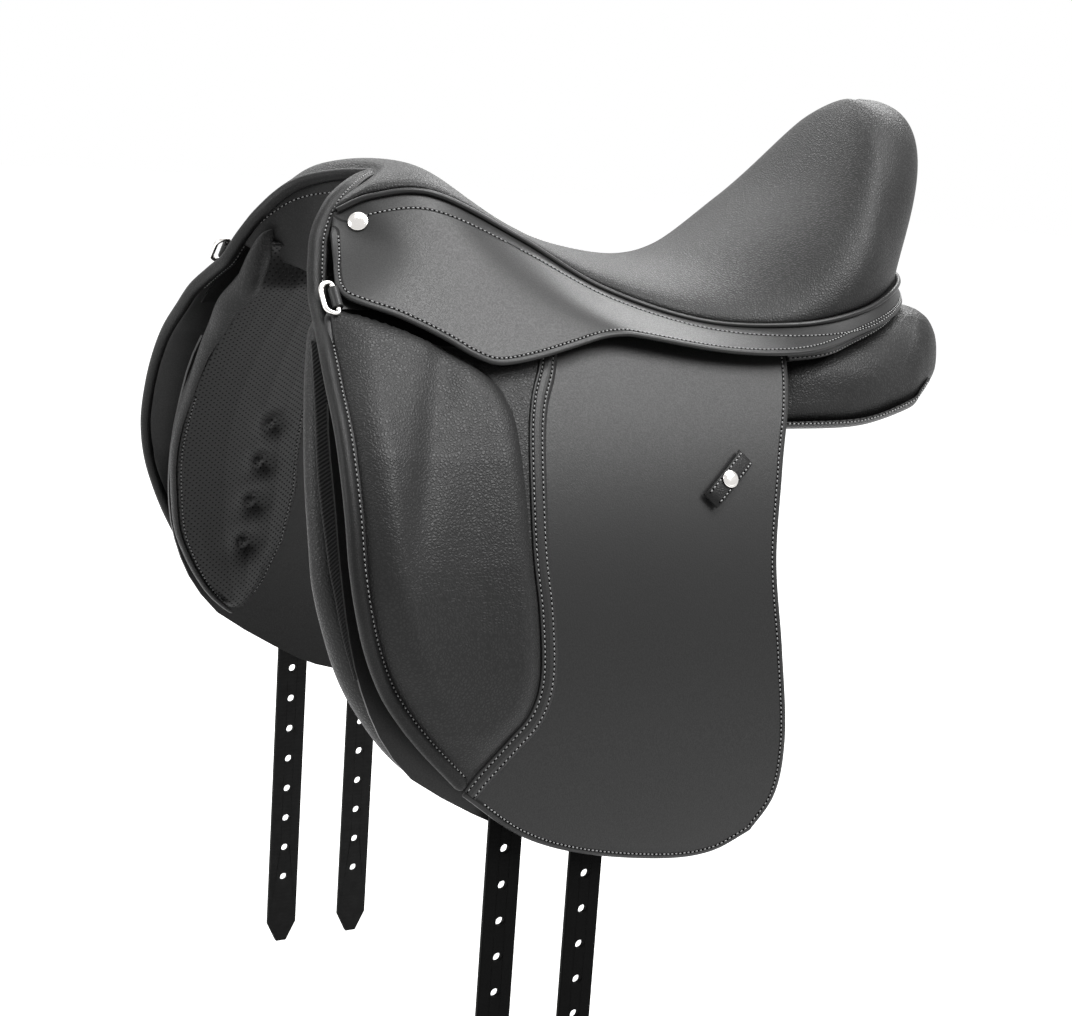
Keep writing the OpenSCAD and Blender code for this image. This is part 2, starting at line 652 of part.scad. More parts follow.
// the panel reaches up to the tree and out to the sweat flap
panel_rise = 6.7 - tree_t;
panel_reach = flap_y(-40, sweat_in) - 120.2;
reach_ends = [[36, 1], [76, 0]];
panel_sides = 18;
panel_steps = 2;
function squircle(a) =
    let (c = cos(a), s = sin(a), m = pow(pow(abs(c), 3) + pow(abs(s), 3), 1 / 3)) [c / m, s / m];
function panel_ring(v) =
    [for (k = [0 : panel_sides - 1])
        let (q = squircle(360 * k / panel_sides), a = (1 - q[0]) / 2, b = (1 - q[1]) / 2)
        let (it = [v[1], v[2] + panel_rise], ot = [v[3], v[4] + panel_rise])
        let (ob = [v[5] + panel_reach * lookup(v[0], reach_ends), v[6]], ib = [v[7], v[8]])
        let (p = (1 - b) * (a * it + (1 - a) * ot) + b * (a * ib + (1 - a) * ob))
        [v[0], p[0], p[1]]];
module panel() {
    n = (len(panel_stations) - 1) * panel_steps;
    color("black")
        loft([for (i = [n : -1 : 0]) panel_ring(curve_at(panel_stations, i / panel_steps))]);
}

// girth straps and the webs that carry them
billet_x = [-165, -104];
web_w = 26;
// the webs end just under the tree
web_top = [80.6 - 1.8 * tree_t - 0.4 * foam_depth, 45.8 - 1.5 * tree_t - 0.4 * foam_depth];
hole_top = -284;
billet_top = -2;
tip_z = hole_top - hole_pitch * (hole_count - 1) - tip_length;
module girth_webs() {
    color("dimgray") for (i = [0, 1]) {
        on_cylinder(web_in, web_out)
            translate([billet_x[i] - web_w / 2, -24]) square([web_w, web_top[i] + 24]);
    }
}
module billet(i) {
    x = billet_x[i];
    y = axis_y + flap_r;
    w = billet_w / 2;
    color("black") difference() {
        union() {
            on_cylinder(strap_in, strap_out)
                translate([x - w, axis_z]) square([billet_w, billet_top - axis_z]);
            translate([x, y + strap_out, 0]) rotate([90, 0, 0]) linear_extrude(billet_t)
                polygon([[-w, axis_z], [-w, tip_z + 16], [-0.35 * w, tip_z], [0.35 * w, tip_z],
                    [w, tip_z + 16], [w, axis_z]]);
        }
        for (k = [0 : hole_count - 1]) {
            translate([x, y + strap_out + 1, hole_top - hole_pitch * k]) rotate([90, 0, 0])
                cylinder(h = billet_t + 2, d = hole_d, $fn = 32);
        }
    }
}

// front ring and the tab that holds its bar
ring_x = -263.5;
ring_z = 33;
ring_off = 4;
tab_t = 1.3;
tab_w = 14;
tab_hole = ring_wire + 0.7;
module ring_tab() {
    color("black") at_flap(ring_x, ring_z, ring_off) rotate([90, 0, 0]) translate([0, 0, -tab_w / 2])
        linear_extrude(tab_w) difference() {
            union() {
                circle(d = tab_hole + 2 * tab_t, $fn = 40);
                translate([-tab_hole / 2 - 20, 0.6 - ring_off]) square([tab_hole / 2 + 20, tab_t]);
                translate([-tab_hole / 2 - tab_t, 0.6 - ring_off]) square([tab_t, ring_off]);
            }
            circle(d = tab_hole, $fn = 40);
        }
}
ring_corner = 2.2;
function arc(c, r, a0, a1, n) =
    [for (i = [0 : n]) let (a = a0 + (a1 - a0) * i / n) [c[0] + r * cos(a), c[1] + r * sin(a), 0]];
module d_ring() {
    side = ring_w / 2 - ring_wire / 2;
    bend = ring_depth - ring_wire;
    bow = bend - ring_corner - clear;
    loop = concat(arc([ring_corner, ring_corner - side], ring_corner, 180, 270, 4),
        arc([bend - bow, bow - side], bow, 270, 360, 6), arc([bend - bow, side - bow], bow, 0, 90, 6),
        arc([ring_corner, side - ring_corner], ring_corner, 90, 180, 4),
        [for (i = [1 : 3]) [0, (side - ring_corner) * (1 - i / 2), 0]]);
    color("silver") at_flap(ring_x, ring_z, ring_off) closed_cord(loop, ring_wire);
}

tree();
gullet_plate();
seat_foam();
seat_cover();
seat_welt();
gullet_facing();
pommel_roll();
skirt_buttons();
bar_rivets();
catch_pins();
pad_tufts();
on_left() skirt_base();  // skirt_base_left
skirt_base();  // skirt_base_right
on_left() skirt_lobe();  // skirt_left
skirt_lobe();  // skirt_right
on_left() flap_head();  // flap_head_left
flap_head();  // flap_head_right
on_left() flap();  // flap_left
flap();  // flap_right
on_left() flap_roll();  // flap_roll_left
flap_roll();  // flap_roll_right
on_left() knee_block();  // knee_block_left
knee_block();  // knee_block_right
on_left() block_piping();  // block_piping_left
block_piping();  // block_piping_right
on_left() keeper();  // keeper_left
keeper();  // keeper_right
on_left() keeper_button();  // keeper_button_left
keeper_button();  // keeper_button_right
on_left() stirrup_bar();  // stirrup_bar_left
stirrup_bar();  // stirrup_bar_right
on_left() catch_piece();  // catch_left
catch_piece();  // catch_right
on_left() panel();  // panel_left
panel();  // panel_right
on_left() panel_roll();  // panel_roll_left
panel_roll();  // panel_roll_right
on_left() front_pad();  // front_pad_left
front_pad();  // front_pad_right
on_left() sweat_flap();  // sweat_flap_left
sweat_flap();  // sweat_flap_right
on_left() girth_webs();  // girth_webs_left
girth_webs();  // girth_webs_right
on_left() billet(0);  // billet_front_left
billet(0);  // billet_front_right
on_left() billet(1);  // billet_rear_left
billet(1);  // billet_rear_right
on_left() ring_tab();  // ring_tab_left
ring_tab();  // ring_tab_right
on_left() d_ring();  // d_ring_left
d_ring();  // d_ring_right
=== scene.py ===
"""Dressage saddle: leather, padding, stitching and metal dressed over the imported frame.

Sizes are millimetres in the part's own frame: X towards the cantle, Y to the right, Z up.
The right side is worked out and turned over for the left. Only the panel's front roll differs
between the sides, and the ribbed strip beside it is on the left alone.
"""

import logging
import math
from dataclasses import dataclass
from enum import Enum
from typing import Callable, Optional, Sequence

import bmesh
import bpy
import numpy as np
from mathutils import Matrix, Vector
from mathutils.bvhtree import BVHTree


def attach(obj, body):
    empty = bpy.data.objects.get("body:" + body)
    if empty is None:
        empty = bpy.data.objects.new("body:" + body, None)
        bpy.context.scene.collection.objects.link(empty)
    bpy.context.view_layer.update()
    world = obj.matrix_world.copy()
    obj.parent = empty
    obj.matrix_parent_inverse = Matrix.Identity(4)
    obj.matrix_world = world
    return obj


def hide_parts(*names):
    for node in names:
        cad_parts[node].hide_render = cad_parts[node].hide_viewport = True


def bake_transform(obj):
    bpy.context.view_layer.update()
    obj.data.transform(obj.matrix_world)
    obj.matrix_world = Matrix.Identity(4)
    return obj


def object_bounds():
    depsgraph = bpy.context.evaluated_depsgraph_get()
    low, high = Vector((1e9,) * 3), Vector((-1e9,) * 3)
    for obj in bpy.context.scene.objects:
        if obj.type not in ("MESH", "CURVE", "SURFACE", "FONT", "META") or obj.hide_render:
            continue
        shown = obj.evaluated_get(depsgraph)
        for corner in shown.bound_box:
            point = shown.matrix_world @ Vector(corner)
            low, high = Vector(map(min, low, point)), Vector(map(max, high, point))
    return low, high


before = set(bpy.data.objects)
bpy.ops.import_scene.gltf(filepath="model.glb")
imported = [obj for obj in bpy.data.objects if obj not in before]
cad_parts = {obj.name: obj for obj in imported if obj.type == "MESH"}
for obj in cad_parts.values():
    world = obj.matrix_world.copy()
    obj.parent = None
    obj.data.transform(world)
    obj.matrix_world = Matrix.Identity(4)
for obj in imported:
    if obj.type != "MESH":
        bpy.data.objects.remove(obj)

LOG = logging.getLogger("saddle")
CAD_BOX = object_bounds()
MM = 0.001
Array = np.ndarray
Place = Callable[[Array, Array], Array]
Section = Callable[[Array, Array], tuple[Array, Array]]
Piece = bpy.types.Object
Socket = bpy.types.NodeSocket
UP = np.array((0, 0, 1.0))
AHEAD = np.array((-1.0, 0, 0))


class Side(Enum):
    """The two sides of the saddle, with the sign of their Y."""

    LEFT = -1
    RIGHT = 1

    @property
    def word(self) -> str:
        """The side's name as the frame writes it."""
        return self.name.lower()

    def turn(self, points: Array) -> Array:
        """Right-hand points moved to this side."""
        return np.asarray(points, float) * (1, self.value, 1)


class Seam(Enum):
    """Surface fields that carry the distance from an edge to the leather's grooves."""

    HEM = "edge_in"
    TOP = "top_in"


def spline(points: Sequence[Sequence[float]], at: Array) -> Array:
    """Smooth curve through points.

    Args:
        points: the points of the curve, any number of coordinates each.
        at: parameters, 0 at the first point and 1 more at each next one.

    Returns:
        One row of coordinates for each parameter.
    """
    p = np.asarray(points, float)
    t = np.clip(np.asarray(at, float), 0, len(p) - 1)
    k = np.minimum(t.astype(int), len(p) - 2)
    f = (t - k)[..., None]
    b, c = p[k], p[k + 1]
    a = np.where((k > 0)[..., None], p[np.maximum(k - 1, 0)], 2 * b - c)
    d = np.where((k < len(p) - 2)[..., None], p[np.minimum(k + 2, len(p) - 1)], 2 * c - b)
    cubic = 3 * b - a - 3 * c + d
    return 0.5 * (2 * b + (c - a) * f + (2 * a - 5 * b + 4 * c - d) * f**2 + cubic * f**3)


def unit(v: Array) -> Array:
    """Vectors of length one along v."""
    return v / np.maximum(np.linalg.norm(v, axis=-1, keepdims=True), 1e-9)


def graded(table: Sequence[Sequence[float]], at: Array) -> Array:
    """Straight-line values between the rows of a small table that rises in its first column."""
    rows = np.asarray(table, float)
    return np.interp(at, rows[:, 0], rows[:, 1])


def smoothstep(low: float, high: float, x: Array) -> Array:
    """0 below low, 1 above high and a smooth rise between."""
    t = np.clip((np.asarray(x, float) - low) / (high - low), 0, 1)
    return t * t * (3 - 2 * t)


def both_sides(points: Array, share: Array) -> Array:
    """Right-hand points, those of the first half of the shares turned to the left."""
    same = np.ones_like(share)
    return points * np.stack([same, np.where(share < 0.5, -1.0, 1.0), same], -1)


def section_frame(path: Array, out: Array) -> tuple[Array, Array]:
    """Directions to the rear and outwards of a section that is drawn along a path."""
    along = unit(np.gradient(path, axis=0))
    rear = unit(np.cross(along, out))
    return rear, np.cross(rear, along)


class Line:
    """A smooth line measured along its length."""

    def __init__(self, points: Sequence[Sequence[float]], smooth: bool = True) -> None:
        """Args: points of the line, and whether it is curved through them."""
        p = np.asarray(points, float)
        self.points = spline(p, np.linspace(0, len(p) - 1, (len(p) - 1) * 20 + 1)) if smooth else p
        self.run = np.concatenate([[0], np.cumsum(np.linalg.norm(np.diff(self.points, axis=0), axis=1))])

    @property
    def length(self) -> float:
        """Whole length of the line."""
        return float(self.run[-1])

    def at(self, share: Array) -> Array:
        """Points at shares of the length, from 0 to 1."""
        s = np.clip(share, 0, 1) * self.length
        return np.stack([np.interp(s, self.run, column) for column in self.points.T], -1)

    def across(self, height: Array) -> Array:
        """First coordinate of a falling line at a height."""
        order = self.points[::-1]
        return np.interp(height, order[:, 1], order[:, 0])

    def inwards(self, distance: float) -> "Line":
        """The line moved sideways, to the right of its falling direction seen from outside."""
        t = unit(np.gradient(self.points, axis=0))
        return Line(self.points + distance * np.stack([-t[:, 1], t[:, 0]], -1), smooth=False)

    def distance(self, points: Array) -> Array:
        """Least distance of each point from the line."""
        out = np.full(len(points), 1e9)
        for p in self.points[:: max(1, len(self.points) // 400)]:
            out = np.minimum(out, np.linalg.norm(points - p, axis=1))
        return out


@dataclass(frozen=True)
class FlapForm:
    """The level cylinder on which the flaps, straps and pads lie, and the flap's edges."""

    radius: float = 401.0
    axis_y: float = -194.0
    axis_z: float = -240.0
    hinge_z: float = -6.0
    flare: float = 21.0
    flare_from: float = -200.0
    flare_run: float = 85.0
    flare_heights: tuple = ((-195, 0), (-162, 0.45), (-134, 0.85), (-97, 1), (-78, 1), (-58, 0.93), (-37, 0.75),
                            (-14, 0.36), (6, 0.08), (20, 0))

    def at(self, x: Array, z: Array, off: Array = 0.0) -> Array:
        """Points off the outer face of the flap, x along the saddle and z the height on that face."""
        x, z, off = np.broadcast_arrays(np.asarray(x, float), z, off)
        b = np.arcsin((z - self.axis_z) / self.radius)
        r = self.radius + off
        return np.stack([x, self.axis_y + r * np.cos(b), self.axis_z + r * np.sin(b)], -1)

    def flared(self, x: Array, z: Array, off: Array = 0.0) -> Array:
        """Points off the hanging flap, whose front stands out from the cylinder beside the knee."""
        reach = np.clip((self.flare_from - np.asarray(x, float)) / self.flare_run, 0, 1) ** 1.4
        return self.at(x, z, off + self.flare * reach * graded(self.flare_heights, z))

    def normal(self, z: Array) -> Array:
        """Direction away from the flap at a height."""
        b = np.arcsin((np.asarray(z, float) - self.axis_z) / self.radius)
        return np.stack([np.zeros_like(b), np.cos(b), np.sin(b)], -1)

    @property
    def bend(self) -> tuple[tuple, tuple]:
        """Heights between which the flap bends when it is lifted."""
        return (0, 0, self.hinge_z + 14), (0, 0, self.hinge_z - 14)

    @property
    def front(self) -> Line:
        """Front edge from the pommel to the lower corner, as x and height."""
        return Line([(-262, 74), (-268, 66), (-277, 34), (-283, 0), (-288, -45), (-290, -92), (-287, -134),
                     (-270, -182), (-245, -221), (-206, -263)])

    @property
    def hem(self) -> Line:
        """Lower edge from the front corner to the round rear corner."""
        return Line([(-206, -263), (-161, -297), (-113, -317), (-50, -330), (-11, -330), (18, -317)])

    @property
    def rear(self) -> Line:
        """Rear edge from under the skirt down to the round corner."""
        return Line([(60, 2), (52, -29), (37, -72), (25, -128), (28, -187), (35, -250), (33, -290), (18, -317)])

    @property
    def head(self) -> Line:
        """Upper edge under the skirt, from the front to the rear."""
        return Line([(-266, 30), (-250, 26), (-225, 18), (-207, 11), (-180, 8), (-121, 12), (-61, 15), (8, 3), (60, 2)])


FORM = FlapForm()


def coons(top: Line, low: Line, left: Line, right: Line) -> Place:
    """Flat patch between four lines that share their corners.

    Args:
        top, low: lines from left to right.
        left, right: lines from top to bottom.

    Returns:
        A function from shares across and down to points of the patch.
    """
    def place(u: Array, v: Array) -> Array:
        a, b = u[:, None], v[:, None]
        corners = ((1 - a) * (1 - b) * top.at(np.zeros(1)) + a * (1 - b) * top.at(np.ones(1))
                   + (1 - a) * b * low.at(np.zeros(1)) + a * b * low.at(np.ones(1)))
        return (1 - b) * top.at(u) + b * low.at(u) + (1 - a) * left.at(v) + a * right.at(v) - corners
    return place


class Shaper:
    """Makes meshes from mapped grids and puts them in the scene."""

    SKIN_WELD = 0.00002
    NODE_WELD = 0.00001

    @staticmethod
    def to_object(bm: bmesh.types.BMesh, name: str) -> Piece:
        """A smooth shaded object that takes the mesh over."""
        mesh = bpy.data.meshes.new(name)
        bm.to_mesh(mesh)
        bm.free()
        mesh.shade_smooth()
        obj = bpy.data.objects.new(name, mesh)
        bpy.context.scene.collection.objects.link(obj)
        return obj

    @staticmethod
    def face_out(bm: bmesh.types.BMesh, outward: Optional[Sequence[float]]) -> None:
        """Turns the faces outwards: a closed skin by itself, a sheet along a direction."""
        if outward is None:
            bmesh.ops.recalc_face_normals(bm, faces=bm.faces)
            return
        bm.normal_update()
        total = sum((f.normal * f.calc_area() for f in bm.faces), Vector())
        if total.dot(Vector(outward)) < 0:
            bmesh.ops.reverse_faces(bm, faces=bm.faces)

    @classmethod
    def skin(cls, name: str, place: Place, columns: int, rows: int, side: Side = Side.RIGHT,
             outward: Optional[Sequence[float]] = None, uv: Optional[Place] = None,
             base: Optional[Place] = None) -> Piece:
        """A grid mapped to its place.

        Args:
            name: name of the piece.
            place: points on the right-hand side for shares across and down.
            columns, rows: faces across and down.
            side: the side that the piece is on.
            outward: right-hand direction that the sheet faces, or nothing for a closed skin.
            uv: flat place of each point, in millimetres, for patterns that follow the surface.
            base: place that the rim is drawn down to and closed on, for a padded piece.

        Returns:
            The new object.
        """
        bm = bmesh.new()
        bmesh.ops.create_grid(bm, x_segments=columns, y_segments=rows, size=0.5)
        bm.verts.index_update()
        share = np.array([v.co[:2] for v in bm.verts]) + 0.5
        spots = side.turn(place(share[:, 0], share[:, 1])) * MM
        layer = bm.loops.layers.uv.new("UVMap")
        flat = uv(share[:, 0], share[:, 1]) * MM if uv else share
        for face in bm.faces:
            for loop in face.loops:
                loop[layer].uv = flat[loop.vert.index]
        ground = side.turn(base(share[:, 0], share[:, 1])) * MM if base else None
        for v, spot in zip(bm.verts, spots):
            v.co = spot
        if ground is not None:
            rim = [e for e in bm.edges if e.is_boundary]
            under = {v: ground[v.index] for e in rim for v in e.verts}
            spot_of = {tuple(v.co): low for v, low in under.items()}
            twin = bmesh.ops.duplicate(bm, geom=bm.verts[:] + bm.edges[:] + bm.faces[:])["vert_map"]
            for v in bm.verts[:len(ground)]:
                twin[v].co = ground[v.index]
            made = bmesh.ops.extrude_edge_only(bm, edges=rim)["geom"]
            for part in made:
                if isinstance(part, bmesh.types.BMVert):
                    part.co = spot_of[tuple(part.co)]
                elif isinstance(part, bmesh.types.BMFace):
                    part.material_index = 1
        bmesh.ops.remove_doubles(bm, verts=bm.verts, dist=cls.SKIN_WELD)
        hint = None if outward is None or base else side.turn(outward)
        cls.face_out(bm, hint)
        return cls.to_object(bm, name)

    @classmethod
    def sweep(cls, name: str, path: Array, out: Array, section: Section, side: Side = Side.RIGHT,
              around: int = 24) -> Piece:
        """A closed section drawn along a path.

        Args:
            name: name of the piece.
            path: centre points, right-hand side.
            out: direction away from the saddle at each of them.
            section: distances to the rear and outwards, for shares round the section and path numbers.
            side: the side that the piece is on.
            around: faces round the section.

        Returns:
            The new object.
        """
        rear, rise = section_frame(path, out)
        last = len(path) - 1

        def place(u: Array, w: Array) -> Array:
            i = np.rint(w * last).astype(int)
            across, height = section(u, i)
            return path[i] + across[:, None] * rear[i] + height[:, None] * rise[i]

        return cls.skin(name, place, around, last, side)

    @classmethod
    def from_node(cls, name: str, node: str, levels: int = 2) -> Piece:
        """A smooth copy of a frame node, its triangles joined to quads and subdivided."""
        bm = bmesh.new()
        bm.from_mesh(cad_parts[node].data)
        bmesh.ops.remove_doubles(bm, verts=bm.verts, dist=cls.NODE_WELD)
        bmesh.ops.join_triangles(bm, faces=bm.faces, angle_face_threshold=math.radians(60),
                                 angle_shape_threshold=math.radians(80))
        bmesh.ops.recalc_face_normals(bm, faces=bm.faces)
        obj = cls.to_object(bm, name)
        if levels:
            cls.soften(obj, levels)
        return obj

    @staticmethod
    def soften(obj: Piece, levels: int = 1) -> None:
        """Adds a subdivision surface."""
        soft = obj.modifiers.new("soft", "SUBSURF")
        soft.levels = levels
        soft.render_levels = levels

    @staticmethod
    def thicken(obj: Piece, thickness: float) -> None:
        """Gives a sheet its thickness behind its outer face."""
        wall = obj.modifiers.new("thickness", "SOLIDIFY")
        wall.thickness = thickness * MM
        wall.offset = -1.0
        wall.use_even_offset = True

    @staticmethod
    def round_edges(obj: Piece, width: float) -> None:
        """Rounds the sharp edges of a hard piece and keeps its faces flat."""
        bevel = obj.modifiers.new("edges", "BEVEL")
        bevel.width = width * MM
        bevel.segments = 2
        bevel.limit_method = "ANGLE"
        bevel.angle_limit = math.radians(40)
        obj.modifiers.new("flat_faces", "WEIGHTED_NORMAL")

    @staticmethod
    def field(obj: Piece, seam: Seam, line: Line, side: Side) -> None:
        """Stores each point's distance from an edge line, in metres, for the leather's grooves."""
        co = np.array([v.co for v in obj.data.vertices]) / MM
        values = line.distance(side.turn(co)) * MM
        obj.data.attributes.new(seam.value, "FLOAT", "POINT").data.foreach_set("value", values.astype(np.float32))


class Board:
    """A node tree with short calls for its nodes."""

    def __init__(self, tree: bpy.types.NodeTree) -> None:
        """Args: tree that the nodes go into."""
        self.tree = tree

    def node(self, kind: str, inputs: Optional[dict] = None, **settings) -> bpy.types.Node:
        """A node with its settings, and with inputs that are values or other nodes' outputs."""
        made = self.tree.nodes.new(kind)
        for key, value in settings.items():
            setattr(made, key, value)
        for key, value in (inputs or {}).items():
            self.feed(made.inputs[key], value)
        return made

    def feed(self, socket: Socket, value: object) -> None:
        """Links an output to a socket, or sets the socket's value."""
        if isinstance(value, Socket):
            self.tree.links.new(value, socket)
        else:
            socket.default_value = value

    def math(self, operation: str, *values: object) -> Socket:
        """Result of a math node."""
        return self.node("ShaderNodeMath", dict(enumerate(values)), operation=operation).outputs[0]

    def ramp(self, value: object, low: float, high: float, to_low: float = 0.0,
             to_high: float = 1.0) -> Socket:
        """Smooth map of a value from one range to another."""
        made = self.node("ShaderNodeMapRange", {"Value": value, "From Min": low, "From Max": high,
                                                "To Min": to_low, "To Max": to_high},
                         interpolation_type="SMOOTHSTEP")
        return made.outputs["Result"]

    def mix(self, share: object, first: object, second: object) -> Socket:
        """Colour between two others."""
        made = self.node("ShaderNodeMix", data_type="RGBA")
        self.feed(made.inputs[0], share)
        self.feed(made.inputs[6], first)
        self.feed(made.inputs[7], second)
        return made.outputs[2]

    def mix_value(self, share: object, first: object, second: object) -> Socket:
        """Value between two others."""
        return self.node("ShaderNodeMix", {0: share, 2: first, 3: second}).outputs[0]

    def mottled(self, patch: object, shade: float) -> Socket:
        """Grey that drifts to both sides of a shade."""
        return self.mix(patch, grey(0.85 * shade), grey(1.15 * shade))

    def shown(self) -> Socket:
        """1 for the rays that show the pale surround: seen, mirrored or let through."""
        rays = self.node("ShaderNodeLightPath").outputs
        seen = self.math("MAXIMUM", rays["Is Camera Ray"], rays["Is Glossy Ray"])
        return self.math("MAXIMUM", seen, rays["Is Transmission Ray"])


class Palette(Board):
    """A material's node tree and its shader."""

    def __init__(self, name: str) -> None:
        """Starts a material with its shader."""
        self.material = bpy.data.materials.new(name)
        self.material.use_nodes = True
        super().__init__(self.material.node_tree)
        self.shader = self.tree.nodes["Principled BSDF"]

    def coordinates(self, kind: str = "Object") -> Socket:
        """Place on the object, or on its flat pattern."""
        return self.node("ShaderNodeTexCoord").outputs[kind]

    def noise(self, where: object, size: float, detail: float = 2.0) -> Socket:
        """Noise with features of a size in millimetres."""
        made = self.node("ShaderNodeTexNoise", {"Vector": where, "Scale": 1 / (size * MM), "Detail": detail})
        return made.outputs[0]

    def groove(self, seam: Seam, inset: float, width: float) -> Socket:
        """1 along a stitched groove at a distance from an edge, 0 elsewhere."""
        edge = self.node("ShaderNodeAttribute", attribute_name=seam.value).outputs["Fac"]
        away = self.math("ABSOLUTE", self.math("SUBTRACT", edge, inset * MM))
        return self.ramp(away, 0.25 * width * MM, width * MM, 1.0, 0.0)

    def bump(self, height: object, depth: float, strength: float = 1.0) -> None:
        """Feeds a height of a depth in millimetres to the shader's normal."""
        made = self.node("ShaderNodeBump", {"Height": height, "Distance": depth * MM, "Strength": strength})
        self.feed(self.shader.inputs["Normal"], made.outputs["Normal"])

    def surface(self, colour: object, roughness: object, specular: float = 0.5, metallic: float = 0.0) -> None:
        """Sets the shader's main sockets."""
        self.feed(self.shader.inputs["Base Color"], colour)
        self.feed(self.shader.inputs["Roughness"], roughness)
        self.shader.inputs["Specular IOR Level"].default_value = specular
        self.shader.inputs["Metallic"].default_value = metallic


def grey(value: float, warm: float = 0.0) -> tuple[float, float, float, float]:
    """Opaque near-neutral colour."""
    return (value * (1 + warm), value, value * (1 - warm), 1.0)


@dataclass(frozen=True)
class Finish:
    """A procedural finish, painted on a material of its own."""

    name: str

    def material(self) -> bpy.types.Material:
        """The finish as a material."""
        b = Palette(self.name)
        self.paint(b, b.coordinates())
        return b.material

    def paint(self, b: Palette, where: Socket) -> None:
        """Lays the finish on.

        Args:
            b: palette of the material.
            where: place on the object.
        """
        raise NotImplementedError


@dataclass(frozen=True)
class GrainedLeather(Finish):
    """Black leather with a pebble grain."""

    shade: float = 0.014
    cell: float = 2.0
    depth: float = 0.20
    roughness: float = 0.42
    specular: float = 0.22

    def paint(self, b: Palette, where: Socket) -> None:
        """Pebbles, with the valleys between them painted darker as shade in the grain's creases."""
        drift = b.node("ShaderNodeTexNoise", {"Vector": where, "Scale": 1 / (3.5 * MM), "Detail": 1.0})
        shift = b.node("ShaderNodeVectorMath", {0: drift.outputs["Color"], 1: (0.5, 0.5, 0.5)}, operation="SUBTRACT")
        push = b.node("ShaderNodeVectorMath", {0: shift.outputs[0], "Scale": 0.9 * self.cell * MM}, operation="SCALE")
        bent = b.node("ShaderNodeVectorMath", {0: where, 1: push.outputs[0]}, operation="ADD")
        cells = b.node("ShaderNodeTexVoronoi", {"Vector": bent.outputs[0], "Scale": 1 / (self.cell * MM)},
                       feature="DISTANCE_TO_EDGE")
        pebble = b.ramp(cells.outputs["Distance"], 0.0, 0.34)
        fine = b.noise(where, 0.6)
        patch = b.noise(where, 45.0, 3.0)
        height = b.math("ADD", b.math("MULTIPLY", pebble, 0.8), b.math("MULTIPLY", fine, 0.25))
        tone = b.mottled(patch, self.shade)
        b.bump(height, self.depth)
        worn = b.ramp(pebble, 0.0, 1.0, self.roughness + 0.1, self.roughness - 0.02)
        # The valleys between pebbles are painted at half the shade: painted shade in the creases.
        b.surface(b.mix(pebble, grey(0.5 * self.shade), tone), worn, self.specular)


@dataclass(frozen=True)
class FineLeather(Finish):
    """Black leather with a fine stipple and sewn grooves along its edges."""

    shade: float = 0.014
    grain: float = 1.0
    depth: float = 0.08
    roughness: float = 0.42
    specular: float = 0.22
    hem_inset: float = 4.6
    top_inset: float = 12.5
    groove: float = 1.2

    def paint(self, b: Palette, where: Socket) -> None:
        """Stipple, and grooves under the stitches painted dark as the shade in them."""
        stipple = b.noise(where, self.grain, 2.0)
        patch = b.noise(where, 60.0, 3.0)
        sewn = b.math("MAXIMUM", b.groove(Seam.HEM, self.hem_inset, self.groove),
                      b.groove(Seam.TOP, self.top_inset, self.groove))
        height = b.math("SUBTRACT", stipple, b.math("MULTIPLY", sewn, 3.5))
        b.bump(height, self.depth)
        tone = b.mottled(patch, self.shade)
        speck = b.mix(b.ramp(stipple, 0.35, 0.7), tone, grey(1.4 * self.shade))
        rough = b.ramp(stipple, 0.3, 0.7, self.roughness + 0.06, self.roughness - 0.05)
        # Along the stitched grooves the colour is painted near black and the leather rougher: painted shade in the
        # grooves.
        b.surface(b.mix(sewn, speck, grey(0.2 * self.shade)), b.mix_value(sewn, rough, 0.75), self.specular)


@dataclass(frozen=True)
class PerforatedLeather(Finish):
    """Soft black leather with staggered rows of pricked holes."""

    shade: float = 0.018
    pitch: float = 4.8
    hole: float = 0.85
    roughness: float = 0.44

    def paint(self, b: Palette, where: Socket) -> None:
        """Holes on a grid turned by half a right angle on the flat pattern, painted near black as the shade inside
        them.
        """
        turned = b.node("ShaderNodeMapping", {"Vector": b.coordinates("UV"), "Rotation": (0.0, 0.0, math.radians(45))})
        rows = b.node("ShaderNodeTexVoronoi", {"Vector": turned.outputs[0], "Scale": 1 / (0.71 * self.pitch * MM),
                                               "Randomness": 0.0}, voronoi_dimensions="2D")
        far = b.math("MULTIPLY", rows.outputs["Distance"], 0.71 * self.pitch)
        open_hole = b.ramp(far, 0.7 * self.hole, self.hole, 1.0, 0.0)
        fine = b.noise(where, 0.9)
        height = b.math("SUBTRACT", b.math("MULTIPLY", fine, 0.25), b.math("MULTIPLY", open_hole, 1.6))
        b.bump(height, 0.35)
        tone = b.mottled(b.noise(where, 40.0), self.shade)
        # The holes are painted near black: painted shade inside the holes.
        b.surface(b.mix(open_hole, tone, grey(0.002)), b.mix_value(open_hole, self.roughness, 0.9), 0.22)


@dataclass(frozen=True)
class RibbedLeather(Finish):
    """Soft black leather drawn into slanting ribs."""

    shade: float = 0.028
    rib: float = 2.0

    def paint(self, b: Palette, where: Socket) -> None:
        """Ribs across the flat pattern, painted darker in the troughs as shade between the ribs."""
        turned = b.node("ShaderNodeMapping", {"Vector": b.coordinates("UV"), "Rotation": (0.0, 0.0, math.radians(35))})
        ribs = b.node("ShaderNodeTexWave", {"Vector": turned.outputs[0], "Scale": 0.314 / (self.rib * MM),
                                            "Distortion": 0.6}, bands_direction="Y")
        b.bump(ribs.outputs[1], 0.3)
        # Troughs painted darker than crests: painted shade between the ribs.
        b.surface(b.mix(ribs.outputs[1], grey(0.1 * self.shade), grey(0.6 * self.shade)), 0.7, 0.3)


